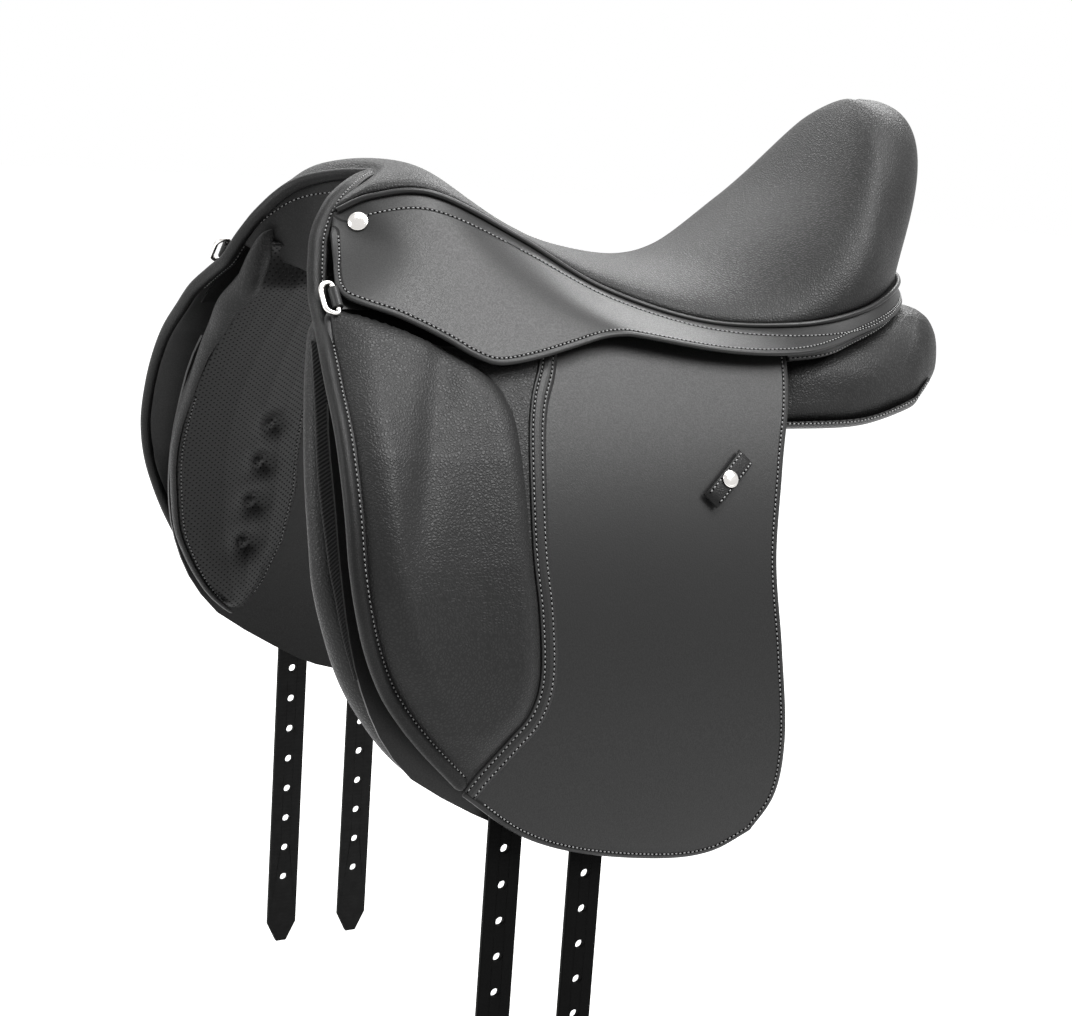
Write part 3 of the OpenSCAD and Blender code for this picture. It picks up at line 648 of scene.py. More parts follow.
@dataclass(frozen=True)
class StrapLeather(Finish):
    """Stiff black strap leather, rougher on its outer side; its outer side is painted much darker as shade."""

    shade: float = 0.014
    rib: float = 3.4

    def paint(self, b: Palette, where: Socket) -> None:
        """Ribs across the strap, the outer faces painted dark as shade and the inner faces lighter as painted light."""
        ribs = b.node("ShaderNodeTexWave", {"Vector": where, "Scale": 0.314 / (self.rib * MM), "Distortion": 2.5,
                                            "Detail": 2.0, "Detail Scale": 1.2}, bands_direction="Z")
        fine = b.noise(where, 0.8)
        b.bump(b.math("ADD", b.math("MULTIPLY", ribs.outputs[1], 0.5), fine), 0.12)
        split = b.node("ShaderNodeSeparateXYZ", {0: where})
        faces = b.node("ShaderNodeNewGeometry")
        lean = b.node("ShaderNodeSeparateXYZ", {0: faces.outputs["Normal"]})
        # Outer faces are painted near black as shade, inner faces a little lighter as painted light.
        outer = b.ramp(b.math("MULTIPLY", lean.outputs[1], b.math("SIGN", split.outputs[1])), -0.2, 0.2)
        tone = b.mix(outer, grey(1.3 * self.shade), grey(0.15 * self.shade))
        rough = b.mix_value(outer, 0.55, 0.95)
        b.surface(b.mix(b.noise(where, 9.0, 3.0), tone, grey(0.3 * self.shade)), rough, 0.08)


@dataclass(frozen=True)
class Metal(Finish):
    """Plain metal with faint polishing marks."""

    shade: float = 0.74
    warm: float = 0.03
    roughness: float = 0.16

    def paint(self, b: Palette, where: Socket) -> None:
        """Polish with faint marks."""
        marks = b.noise(where, 0.9, 3.0)
        b.bump(marks, 0.02, 0.4)
        rough = b.ramp(b.noise(where, 5.0), 0.3, 0.7, 0.8 * self.roughness, 1.3 * self.roughness)
        tone = b.mix(marks, grey(0.9 * self.shade, self.warm), grey(self.shade, self.warm))
        b.surface(tone, rough, 0.5, 1.0)


@dataclass(frozen=True)
class Thread(Finish):
    """Waxed black sewing thread, painted light grey for the highlights on it."""

    name: str = "sewing_thread"
    # Light grey base: painted highlight on thread that is black.
    shade: float = 0.26

    def paint(self, b: Palette, where: Socket) -> None:
        """Twist of the thread."""
        twist = b.noise(where, 0.35, 2.0)
        b.bump(twist, 0.06)
        b.surface(b.mix(twist, grey(0.7 * self.shade), grey(1.25 * self.shade)), 0.5, 0.5)


@dataclass(frozen=True)
class Hidden(Finish):
    """Plain stuff inside the saddle, moulded tree or webbing, or a near-black finish that paints shade: that of a
    pricked hole, and the shadow under the near skirt.
    """

    shade: float
    grain: float = 2.0
    roughness: float = 0.75
    specular: float = 0.3

    def paint(self, b: Palette, where: Socket) -> None:
        """Faint weave."""
        weave = b.noise(where, self.grain, 4.0)
        b.bump(weave, 0.2)
        b.surface(b.mix(weave, grey(0.8 * self.shade), grey(1.2 * self.shade)), self.roughness, self.specular)


class Wardrobe:
    """All finishes of the saddle: those named after the record's slots, and variants of them."""

    def __init__(self) -> None:
        """Makes the materials."""
        finishes = {
            "seat_leather": GrainedLeather("grained_seat_leather"),
            "block_leather": GrainedLeather("grained_block_leather", cell=2.2),
            "panel_leather": GrainedLeather("grained_panel_leather", cell=2.3),
            # Darker and less glossy than the other grained leathers: painted shade wherever it is used, on the rolls,
            # the keeper and the pommel facing.
            "roll_leather": GrainedLeather("grained_roll_leather", shade=0.010, cell=1.5, depth=0.10, specular=0.18),
            "smooth_leather": FineLeather("fine_leather"),
            "perforated_leather": PerforatedLeather("perforated_leather"),
            "strap_leather": StrapLeather("strap_leather"),
            "chrome": Metal("polished_metal"),
            "steel": Metal("satin_steel", shade=0.55, roughness=0.32),
            "thread": Thread(),
            "tree_plastic": Hidden("moulded_tree", 0.10),
            "webbing": Hidden("girth_webbing", 0.03),
            "welt": FineLeather("welt_leather", shade=0.010, depth=0.03, roughness=0.34),
            # Near-black finish for the near flap head under the skirt: painted shadow.
            "underlay": Hidden("underlay_leather", 0.003, grain=1.0, roughness=0.95, specular=0.05),
            "ribbed": RibbedLeather("ribbed_leather"),
            # Near-black lozenges between the stitches: painted shade of the needle holes.
            "pricked": Hidden("pricked_hole", 0.001, grain=1.0, roughness=1.0, specular=0.0),
        }
        self.materials = {name: finish.material() for name, finish in finishes.items()}

    def dress(self, obj: Piece, slot: str, *finishes: str) -> Piece:
        """Puts a slot's finish on a piece, or variants of that finish."""
        if obj.data.materials:
            obj.data.materials.clear()
        for finish in finishes or (slot,):
            obj.data.materials.append(self.materials[finish])
        return obj


@dataclass(frozen=True)
class Cut:
    """A sheet of leather as it was cut: its flat size in millimetres, how it is held and what it rests on."""

    flat: tuple[float, float]
    held: str
    rests_on: tuple[str, ...] = ()


@dataclass
class Workshop:
    """Finishes the pieces: dresses them, puts them on their bodies and reports them."""

    wardrobe: Wardrobe
    count: int = 0

    def place(self, obj: Piece, slot: str, body: str, *nodes: str, finish: Sequence[str] = (),
              fill: Optional[float] = None) -> Piece:
        """A piece that moves with one body.

        Args:
            obj: the piece.
            slot: slot of its finish.
            body: body that it rides on.
            nodes: frame nodes that it stands for.
            finish: variants of the slot's finish, if it has its own.
            fill: how tight the padding is, for a padded piece; not used.

        Returns:
            The piece.
        """
        self.wardrobe.dress(obj, slot, *finish)
        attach(obj, body)
        return self.note(obj, nodes, fill)

    def bend(self, obj: Piece, slot: str, body: str, ends: tuple[Array, Array], *nodes: str,
             finish: Sequence[str] = (), fill: Optional[float] = None) -> Piece:
        """Dresses a piece of leather and bakes its transform; the body, and the two points in millimetres between which
        it would bend from the saddle, are not used.
        """
        self.wardrobe.dress(obj, slot, *finish)
        start, end = (tuple(np.asarray(p, float) * MM) for p in ends)
        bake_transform(obj)
        return self.note(obj, nodes, fill)

    def sew(self, name: str, rows: Sequence[Array], leathers: Sequence[Piece], body: str,
            ends: Optional[tuple[Array, Array]] = None) -> Piece:
        """Stitches set on leather.

        Args:
            name: name of the piece.
            rows: rows of points in millimetres, already on their side.
            leathers: pieces that the stitches lie on.
            body: body that they move with.
            ends: points between which they would bend from the saddle to that body; if given, the stitches go through
                bend, which uses neither the points nor the body.

        Returns:
            All the stitches as one piece.
        """
        sewing = Stitching()
        sewn = sewing.rows(name, rows, leathers)
        if ends is None:
            return self.place(sewn, "thread", body, finish=sewing.finishes)
        return self.bend(sewn, "thread", body, ends, finish=sewing.finishes)

    def note(self, obj: Piece, nodes: Sequence[str], fill: Optional[float]) -> Piece:
        """Hides the frame nodes that a piece stands for and reports it."""
        if nodes:
            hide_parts(*nodes)
        self.count += 1
        LOG.info("%s: %d points", obj.name, len(obj.data.vertices))
        return obj


@dataclass(frozen=True)
class Stitching:
    """Rows of saddle stitches laid on the leather: a thread and, by turns, a near-black lozenge that paints the shade
    of a needle hole.
    """

    length: float = 2.0
    pitch: float = 3.2
    radius: float = 0.55
    lift: float = 0.1
    hole_half: float = 0.7
    hole_depth: float = 0.3
    finishes: tuple = ("thread", "pricked")

    @staticmethod
    def stamp(number: int) -> bpy.types.Mesh:
        """One stitch or hole, a slim lozenge with the number of its finish."""
        bm = bmesh.new()
        bmesh.ops.create_uvsphere(bm, u_segments=6, v_segments=4, radius=1.0)
        for face in bm.faces:
            face.material_index = number
        mesh = bpy.data.meshes.new("stitch")
        bm.to_mesh(mesh)
        bm.free()
        return mesh

    def rows(self, name: str, paths: Sequence[Array], leathers: Sequence[Piece]) -> Piece:
        """Stitches along paths, each set on the nearest leather, as one object."""
        graph = bpy.context.evaluated_depsgraph_get()
        trees = [BVHTree.FromObject(leather, graph) for leather in leathers]
        stamps = [self.stamp(number) for number in range(len(self.finishes))]
        sizes = [(self.length / 2, self.radius, self.radius), (self.hole_half, self.radius, self.hole_depth)]
        bm = bmesh.new()
        for path in paths:
            line = Line(path, smooth=False)
            count = 2 * max(2, int(line.length / self.pitch))
            centre = line.at((np.arange(count) + 0.5) / count)
            ahead = unit(np.gradient(centre, axis=0))
            for number, (spot, way) in enumerate(zip(centre * MM, ahead)):
                found = min((tree.find_nearest(Vector(spot)) for tree in trees), key=lambda hit: hit[3])
                normal = found[1]
                along = (Vector(way) - normal * normal.dot(Vector(way))).normalized()
                across = normal.cross(along)
                a, c, h = (size * MM for size in sizes[number % 2])
                matrix = Matrix((along * a, across * c, normal * h)).transposed().to_4x4()
                matrix.translation = found[0] + normal * self.lift * MM
                stamp = stamps[number % 2]
                stamp.transform(matrix)
                bm.from_mesh(stamp)
                stamp.transform(matrix.inverted())
        for stamp in stamps:
            bpy.data.meshes.remove(stamp)
        return Shaper.to_object(bm, name)


@dataclass
class Seat:
    """Seat cover and the welt along its lower edge."""

    cover: float = 2.5
    welt_from: float = 0.1
    welt_out: float = 2.9
    welt_down: float = 0.6
    welt: tuple = ((2.0, 0), (1.4, 1.4), (0, 2.0), (-1.4, 1.4), (-2.2, 0.3), (-4.5, -0.3), (-8.5, -0.6), (-8.5, -1.6),
                   (-4.5, -1.5), (-1.8, -1.2), (0, -2.0), (1.4, -1.4), (2.0, 0))
    stations: tuple = (
        (-245.5, 48.5, 83, -200, 104, -25, 4, 11, 26), (-222, 54, 94.5, -190, 110, 0, 6, 11, 28),
        (-182, 60, 97, -164, 106, 0, 8, 6, 34), (-122, 66, 70, -115, 75, 0, 6, 5, 33),
        (-60, 74, 37, -54, 54, 0, 6, 10, 42), (9, 94, 17, 12, 46, 0, 6, 10, 54),
        (73, 114, 17, 66, 59, 0, 5, 13, 66), (125, 112, 25, 122, 97, 10, 8, 54, 60),
        (163, 95, 36, 170, 156, 35, -4, 80, 44), (193, 56, 42, 185, 162.5, 65, 24, 82, 50),
        (203, 0.6, 45, 192, 163, 90, 44, 84, 48))

    @property
    def last(self) -> int:
        """Number of the station at the middle of the cantle."""
        return len(self.stations) - 1

    def heading(self, degrees: Array) -> Array:
        """Level direction at an angle from straight out to the side."""
        a = np.radians(degrees)
        return np.stack([np.sin(a), np.cos(a), np.zeros_like(a)], -1)

    def point(self, k: Array, s: Array) -> Array:
        """Right half of the seat: from the welt, s 0, to the ridge, s 1, at stations k."""
        v = spline(self.stations, k)
        w = v[..., :3]
        q = np.stack([v[..., 3], np.zeros_like(k), v[..., 4]], -1)
        s = np.asarray(s)[..., None]
        first = w + v[..., 6:7] * self.heading(v[..., 5]) + v[..., 7:8] * UP
        second = q + v[..., 8:9] * self.heading(graded(((8, 0), (9, 45), (10, 90)), k))
        return (1 - s)**3 * w + 3 * s * (1 - s)**2 * first + 3 * s**2 * (1 - s) * second + s**3 * q

    def welt_line(self, k: Array, out: float, down: float) -> Array:
        """Line beside the seat's lower edge, at a distance out and down."""
        v = spline(self.stations, k)
        return v[..., :3] + out * self.heading(v[..., 5]) - down * UP

    def piped(self, u: Array, i: Array) -> tuple[Array, Array]:
        """Section of the welt: a cord and the flange by which it is sewn in under the seat."""
        p = spline(self.welt, u * (len(self.welt) - 1))
        return p[:, 0], p[:, 1]

    def build(self, shop: Workshop) -> None:
        """Makes the seat and the welt."""
        def place(u: Array, w: Array) -> Array:
            return both_sides(self.point(self.last * u, 1 - np.abs(2 * w - 1)), w)

        seat = Shaper.skin("seat", place, 150, 84, outward=(0, 0, 1))
        Shaper.thicken(seat, self.cover)
        Shaper.soften(seat)
        shop.place(seat, "seat_leather", "saddle", "seat_cover", "seat_foam", fill=0.8)
        k = np.linspace(self.welt_from, self.last, 160)
        half = self.welt_line(k, self.welt_out, self.welt_down)
        path = np.concatenate([Side.LEFT.turn(half), half[::-1][1:]])
        welt = Shaper.sweep("seat_welt_cord", path, np.tile(UP, (len(path), 1)), self.piped)
        shop.place(welt, "smooth_leather", "saddle", "seat_welt", finish=("welt",))


@dataclass
class Skirt:
    """Skirt of one side: the fixed band round the cantle and the lobe that lifts."""

    side: Side
    seat: Seat
    lift: float = 14.0
    thickness: float = 3.0
    hem_inset: float = 4.6
    top_inset: float = 12.5
    outline: tuple = ((0, 0), (2, 10.3), (4.5, 21.7), (8, 34), (12, 42.5), (18.5, 46.8), (31, 48), (55, 48.5),
                      (83, 53), (104, 58.5), (121, 58.5), (143, 45.5), (168, 25.5), (185, 11), (196, 3.8), (204, 0))
    top_out: float = 1.6
    top_down: float = 1.0
    split: int = 4
    wedge: tuple = ((5.1, 13), (5.7, 11), (6, 8.5), (6.5, 6), (7, 4.5), (8, 3.5), (10, 3.5))
    wedge_from: float = 5.1
    wedge_in: float = 3.0
    wedge_lean: float = 3.0
    wedge_tuck: float = 22.0
    button: tuple = (6.6, 2.6)
    button_at: tuple = (0.47, 0.215)
    corner_pull: float = 17.0
    corner_way: tuple = (0.456, -0.857, -0.242)
    easing: int = 40

    def __post_init__(self) -> None:
        """Works out the plane of the lobe and the edges of the skirt."""
        self.first = FORM.at(-259, 65, self.lift)
        self.second = FORM.at(-66, 7, self.lift)
        lowest = FORM.at(-171, -8.4, self.lift)
        self.along = unit(self.second - self.first)
        self.out = unit(np.cross(self.along, lowest - self.first))
        self.down = np.cross(self.out, self.along)
        reach = float(np.linalg.norm(self.second - self.first))
        lobe = Line([(s * reach / 204, d) for s, d in self.outline])
        self.lobe = Line(self.first + lobe.points[:, :1] * self.along + lobe.points[:, 1:] * self.down, smooth=False)
        self.band = [self.second, FORM.at(9, -4, self.lift), FORM.at(70, -5, self.lift), (122, 124, 10),
                     (165, 104, 20), (200, 60, 27), (214, 0.6, 30)]

    def top(self, k: Array) -> Array:
        """Upper edge of the skirt, hidden under the welt."""
        return self.seat.welt_line(k, self.top_out, self.top_down)

    def hinge(self, k: Array) -> Array:
        """Line on which the lobe bends, and behind it the edge of the band."""
        share = np.clip(k / self.split, 0, 1)[..., None]
        straight = self.first + (self.second - self.first) * share
        band = spline(self.band, np.maximum(k - self.split, 0))
        return self.drawn(np.where((k < self.split)[..., None], straight, band))

    def low(self, k: Array) -> Array:
        """Lower edge of the skirt."""
        lobe = self.drawn(self.lobe.at(np.clip(k / self.split, 0, 1)))
        return np.where((k < self.split)[..., None], lobe, self.hinge(k))

    def drawn(self, p: Array) -> Array:
        """The front corner drawn in towards the pommel."""
        pull = self.corner_pull * (1 - smoothstep(-256, -200, p[..., 0])) * smoothstep(28, 62, p[..., 2])
        return p + pull[..., None] * np.array(self.corner_way)

    def point(self, k: Array, r: Array) -> Array:
        """The skirt from its upper edge, r 0, to its lower edge, r 1."""
        t, h, e = self.top(k), self.hinge(k), self.low(k)
        first = np.linalg.norm(h - t, axis=-1)
        whole = first + np.linalg.norm(e - h, axis=-1)
        run = r * whole
        upper = t + (h - t) * np.clip(run / first, 0, 1)[..., None]
        lower = (e - h) * np.clip((run - first) / np.maximum(whole - first, 1e-6), 0, 1)[..., None]
        return upper + lower

    def build(self, shop: Workshop) -> None:
        """Makes the skirt, its facing, its stitching and its button."""
        word = self.side.word
        body = f"skirt_{word}"
        leather = Shaper.skin(f"skirt_leather_{word}", lambda u, w: self.point(self.seat.last * u, w), 190, 26,
                              self.side, outward=(0, 0.7, 0.7))
        self.relax(leather)
        k = np.linspace(0, self.seat.last, 900)
        Shaper.field(leather, Seam.HEM, Line(self.low(k), smooth=False), self.side)
        Shaper.field(leather, Seam.TOP, Line(self.top(k[40:840]), smooth=False), self.side)
        Shaper.thicken(leather, self.thickness)
        Shaper.soften(leather)
        bend = self.side.turn(self.first - 5 * self.down), self.side.turn(self.first + 9 * self.down)
        rows = [self.inset(self.low, self.top, k[4:], self.hem_inset),
                self.inset(self.top, self.low, k[60:840], self.top_inset)]
        self.stud(shop, leather)
        shop.bend(leather, "smooth_leather", body, bend, f"skirt_base_{word}", f"skirt_{word}")
        shop.sew(f"skirt_stitches_{word}", [self.side.turn(r) for r in rows], [leather], body, bend)
        self.facing(shop)

    def stud(self, shop: Workshop, leather: Piece) -> None:
        """Plain button at the front corner, set on the leather."""
        k, r = (np.array([v]) for v in self.button_at)
        spot = self.side.turn(self.point(k, r)[0]) * MM
        found = BVHTree.FromObject(leather, bpy.context.evaluated_depsgraph_get()).find_nearest(Vector(spot))
        button = stud(f"skirt_stud_{self.side.word}", np.array(found[0]) / MM, np.array(found[1]), *self.button)
        nodes = ("skirt_buttons",) if self.side is Side.RIGHT else ()
        shop.place(button, "chrome", "saddle", *nodes)

    def facing(self, shop: Workshop) -> None:
        """Strip under the band at the rear, from which the panel hangs."""
        word = self.side.word

        def place(u: Array, w: Array) -> Array:
            k = self.wedge_from + (self.seat.last - self.wedge_from) * u
            heading = self.seat.heading(spline(self.seat.stations, k)[:, 5])
            drop = 2.5 + w * graded(self.wedge, k)
            inside = self.wedge_in + self.wedge_lean * w + self.wedge_tuck * (1 - smoothstep(5.6, 6.6, k))
            return self.hinge(k) - inside[:, None] * heading - drop[:, None] * UP

        strip = Shaper.skin(f"rear_facing_{word}", place, 60, 8, self.side, outward=(0.5, 0.8, -0.2))
        Shaper.thicken(strip, 2.0)
        shop.place(strip, "smooth_leather", "saddle")
        u = np.linspace(0.05, 0.98, 60)
        row = self.side.turn(place(u, np.full_like(u, 0.7)))
        shop.sew(f"facing_stitches_{word}", [row], [strip], "saddle")

    def relax(self, obj: Piece) -> None:
        """Eases the fold between band and lobe without moving the edges."""
        bm = bmesh.new()
        bm.from_mesh(obj.data)
        inner = [v for v in bm.verts if not v.is_boundary]
        for _ in range(self.easing):
            bmesh.ops.smooth_vert(bm, verts=inner, factor=0.5, use_axis_x=True, use_axis_y=True, use_axis_z=True)
        bm.to_mesh(obj.data)
        bm.free()

    @staticmethod
    def inset(edge: Callable[[Array], Array], other: Callable[[Array], Array], k: Array, distance: float) -> Array:
        """An edge moved across the skirt, towards its other edge."""
        p = edge(k)
        t = unit(np.gradient(p, axis=0))
        way = other(k) - p
        return p + distance * unit(way - np.sum(way * t, axis=1, keepdims=True) * t)


@dataclass
class FrontRoll:
    """Rolled front edge of one side, from the pommel down the flap."""

    side: Side
    inset: float = 4.9
    section: tuple = ((-4.3, 0), (-3.6, 2.6), (-1.7, 4.1), (0.6, 4.3), (2.7, 3.4), (4.0, 2.4), (4.7, 1.9), (5.5, 2.1),
                      (7.2, 1.7), (8.0, 0.8), (8.0, -0.8), (7.2, -1.7), (5.5, -2.1), (4.7, -1.9), (4.0, -2.4),
                      (2.7, -3.4), (0.6, -4.3), (-1.7, -4.1), (-3.6, -2.6), (-4.3, 0))
    seam: int = 6
    crest: tuple = ((-199, 0, 102), (-215, 14, 99.5), (-230, 28, 94.5), (-241, 36.5, 88), (-249, 43, 80),
                    (-255, 48.5, 72), (-259.5, 55, 64), (-262.5, 62, 56), (-265.3, 68.7, 48), (-267.3, 75.5, 40),
                    (-269.5, 84, 31), (-273, 103, 19.6))
    crest_out: tuple = ((-0.45, 0.15, 0.88), (-0.4, 0.3, 0.87), (-0.35, 0.45, 0.82), (-0.25, 0.55, 0.8),
                        (-0.15, 0.62, 0.77), (-0.05, 0.66, 0.75), (0, 0.69, 0.72))
    arm_heights: tuple = (4, -15, -40, -65, -90, -115, -140, -165, -190, -210, -228, -245, -258)

    def path(self) -> tuple[Array, Array]:
        """Centre line and outward directions."""
        edge = FORM.front.inwards(self.inset)
        z = np.array(self.arm_heights, float)
        arm = FORM.flared(edge.across(z), z, -0.5)
        points = np.concatenate([self.crest, arm])
        last = len(self.crest_out) - 1
        out = np.concatenate([spline(self.crest_out, np.linspace(0, last, len(self.crest))), FORM.normal(z)])
        at = np.linspace(0, len(points) - 1, 261)
        return spline(points, at), unit(spline(out, at))

    def build(self, shop: Workshop) -> None:
        """Makes the roll and its row of stitches."""
        word = self.side.word
        path, out = self.path()
        w = np.linspace(0, 1, len(path))
        size = 0.85 + 0.2 * smoothstep(0.0, 0.12, w)
        size = size * np.sqrt(np.clip(1 - ((w - 0.985) / 0.015).clip(0, 1)**2, 0.001, 1))

        def section(u: Array, i: Array) -> tuple[Array, Array]:
            p = spline(self.section, u * (len(self.section) - 1))
            return p[:, 0] * size[i], p[:, 1] * size[i]

        roll = Shaper.sweep(f"front_roll_{word}", path, out, section, self.side, 38)
        Shaper.soften(roll)
        shop.bend(roll, "roll_leather", f"flap_{word}", FORM.bend, "pommel_roll", f"flap_roll_{word}", fill=0.8)
        rear, rise = section_frame(path, out)
        across, height = self.section[self.seam]
        rows = [path + size[:, None] * (across * rear + turn * height * rise) for turn in (1, -1)]
        shop.sew(f"roll_stitches_{word}", [self.side.turn(r[4:-4]) for r in rows], [roll], f"flap_{word}", FORM.bend)


@dataclass
class Flap:
    """Flap of one side with its knee block, sewn edge and keeper."""

    side: Side
    thickness: float = 4.0
    lift: float = 0.4
    hem_inset: float = 4.6
    flange: float = 10.5
    block_top: tuple = ((-267, 28), (-250, 24), (-225, 16), (-207, 9), (-185, 0), (-160, -4), (-138, 0), (-128, 10))
    block_low: tuple = ((-213, -254), (-210, -256), (-206, -258))
    block_edge: tuple = ((-200, 8), (-188, 0), (-179, -6), (-168, -16), (-162, -28), (-159.5, -39), (-160, -68),
                         (-160.5, -90), (-161, -116), (-159, -152), (-159, -190), (-166, -212), (-180, -227),
                         (-199, -246), (-207, -254))
    valley: tuple = ((-204, -4), (-213, -22), (-220, -36), (-231, -64), (-241, -92), (-255, -137))
    block_heights: tuple = ((-252, 1.5), (-220, 9), (-180, 14.5), (-120, 17), (-60, 16), (-20, 12), (6, 9), (30, 5))
    block_foot: float = 1.2
    edge_round: float = 17.0
    front_round: float = 24.0
    top_round: float = 10.0
    valley_depth: float = 3.2
    valley_width: float = 11.0
    piping: tuple = ((-128, 10), (-134, -5), (-144, -23), (-151, -46), (-156, -81), (-158, -116), (-156, -152),
                     (-156, -190), (-163, -212), (-177, -227), (-196, -246), (-206, -258))
    piping_width: float = 13.0
    piping_rows: tuple = (0.22, 0.74)
    profile: tuple = ((0.0, 0.2), (0.015, 1.9), (0.07, 2.5), (0.14, 2.4), (0.22, 1.7), (0.30, 2.3), (0.5, 2.5),
                      (0.66, 2.1), (0.74, 1.4), (0.82, 1.7), (1.0, 0.0))
    keeper_at: tuple = (-9.3, -76)
    keeper_turn: float = -42.0
    keeper_button: tuple = (5.8, 2.3)
    keeper_rows: tuple = (-4.7, 4.7)

    def build(self, shop: Workshop) -> None:
        """Makes all pieces of the flap."""
        sheet = self.leather(shop)
        self.block(shop)
        strip = self.strip(shop)
        self.sew(shop, sheet, strip)
        self.keeper(shop)

    @staticmethod
    def patch(top: Line, low: Line, front: Line, rear: Line, count: int) -> Place:
        """Flat patch behind a line of the front.

        Args:
            top, low: its upper and lower lines.
            front: line that its front side follows.
            rear: its rear line.
            count: points of the front side.

        Returns:
            A function from shares across and down to x and height.
        """
        z = np.linspace(top.points[0][1], low.points[0][1], count)
        left = Line(np.stack([front.across(z), z], -1), smooth=False)
        left.points[0], left.points[-1] = top.points[0], low.points[0]
        return coons(top, low, left, rear)

    def leather(self, shop: Workshop) -> Piece:
        """The flap from under the skirt down to the hem."""
        word = self.side.word
        hem, rear = FORM.hem, FORM.rear
        patch = self.patch(FORM.head, hem, FORM.front.inwards(6.0), rear, 70)

        def place(u: Array, w: Array) -> Array:
            p = patch(u, w)
            return FORM.flared(p[:, 0], p[:, 1], self.lift)

        sheet = Shaper.skin(f"flap_leather_{word}", place, 76, 92, self.side, outward=(0, 1, 0))
        edge = np.concatenate([hem.points, rear.points[::-1]])
        Shaper.field(sheet, Seam.HEM, Line(FORM.at(edge[:, 0], edge[:, 1]), smooth=False), self.side)
        Shaper.thicken(sheet, self.thickness)
        Shaper.soften(sheet)
        return shop.bend(sheet, "smooth_leather", f"flap_{word}", FORM.bend, f"flap_{word}")

    def block_height(self, x: Array, z: Array, left: Array) -> Array:
        """Height of the knee block above the flap."""
        edge, dip, top = Line(self.block_edge), Line(self.valley), Line(self.block_top)
        p = np.stack([x, z], -1)
        inside = np.where(x < edge.across(z), 1.0, 0.0)
        rear = np.clip(edge.distance(p) / self.edge_round, 0, 1) * inside
        front = np.clip((x - left) / self.front_round, 0, 1)
        over = np.clip(top.distance(p) / self.top_round, 0, 1)
        swell = np.sqrt(1 - (1 - rear)**2) * np.sin(np.pi / 2 * front)**0.8 * np.sqrt(1 - (1 - over)**2)
        hollow = self.valley_depth * np.exp(-(dip.distance(p) / self.valley_width)**2) * smoothstep(-150, -70, z)
        return self.block_foot + np.maximum((graded(self.block_heights, z) - hollow) * swell, 0)

    def block(self, shop: Workshop) -> None:
        """The padded knee block."""
        word = self.side.word
        inner = FORM.front.inwards(self.flange)
        patch = self.patch(Line(self.block_top), Line(self.block_low), inner, Line(self.piping).inwards(1.0), 90)

        def place(u: Array, w: Array) -> Array:
            p = patch(u, w)
            height = self.block_height(p[:, 0], p[:, 1], inner.across(p[:, 1]))
            return FORM.flared(p[:, 0], p[:, 1], self.lift + height)

        def base(u: Array, w: Array) -> Array:
            p = patch(u, w)
            return FORM.flared(p[:, 0], p[:, 1], self.lift + 0.1)

        block = Shaper.skin(f"knee_block_leather_{word}", place, 84, 150, self.side, outward=(0, 1, 0), base=base)
        shop.bend(block, "block_leather", f"flap_{word}", FORM.bend, f"knee_block_{word}", fill=0.75)

    def strip(self, shop: Workshop) -> Piece:
        """Edge of the flap's leather sewn down behind the knee block."""
        word = self.side.word
        line = Line(self.piping)
        ways = unit(np.gradient(line.at(np.linspace(0, 1, 200)), axis=0))

        def place(u: Array, w: Array) -> Array:
            i = np.rint(w * 199).astype(int)
            q = line.at(w) + (u * self.piping_width)[:, None] * np.stack([-ways[i, 1], ways[i, 0]], -1)
            return FORM.flared(q[:, 0], q[:, 1], self.lift + graded(self.profile, u))

        strip = Shaper.skin(f"block_piping_strip_{word}", place, 40, 150, self.side, outward=(0, 1, 0))
        Shaper.soften(strip)
        return shop.bend(strip, "smooth_leather", f"flap_{word}", FORM.bend, f"block_piping_{word}")

    def sew(self, shop: Workshop, sheet: Piece, strip: Piece) -> None:
        """Stitches along the hem, the rear edge and the strip."""
        word = self.side.word
        edge = np.concatenate([FORM.hem.points[6:], FORM.rear.points[::-1][1:]])
        inner = Line(edge, smooth=False).inwards(self.hem_inset).points
        rows = [FORM.at(inner[:, 0], inner[:, 1], self.lift)]
        for share in self.piping_rows:
            row = Line(self.piping).inwards(share * self.piping_width).points
            rows.append(FORM.flared(row[:, 0], row[:, 1], 1.5))
        turned = [self.side.turn(r) for r in rows]
        shop.sew(f"flap_stitches_{word}", turned, [sheet, strip], f"flap_{word}", FORM.bend)

    def keeper(self, shop: Workshop) -> None:
        """Strap keeper with its plain button."""
        word = self.side.word
        x0, z0 = self.keeper_at
        half, wide, room = 22.0, 6.6, 6.2
        turn = math.radians(self.keeper_turn)
        tilt = math.asin((z0 - FORM.axis_z) / FORM.radius)
        out = np.array((0, math.cos(tilt), math.sin(tilt)))
        up = np.array((0, -math.sin(tilt), math.cos(tilt)))
        along = math.cos(turn) * AHEAD + math.sin(turn) * up
        across = -math.sin(turn) * AHEAD + math.cos(turn) * up
        centre = FORM.at(x0, z0)

        def place(u: Array, w: Array) -> Array:
            s, c = (2 * w - 1) * half, (2 * u - 1) * wide
            rise = room * np.sqrt(np.clip(1 - (np.abs(s) / (half + 0.3))**6, 0, 1)) + 0.6
            crown = 0.5 * (1 - (c / wide)**2)
            return centre + s[:, None] * along + c[:, None] * across + (rise + crown)[:, None] * out

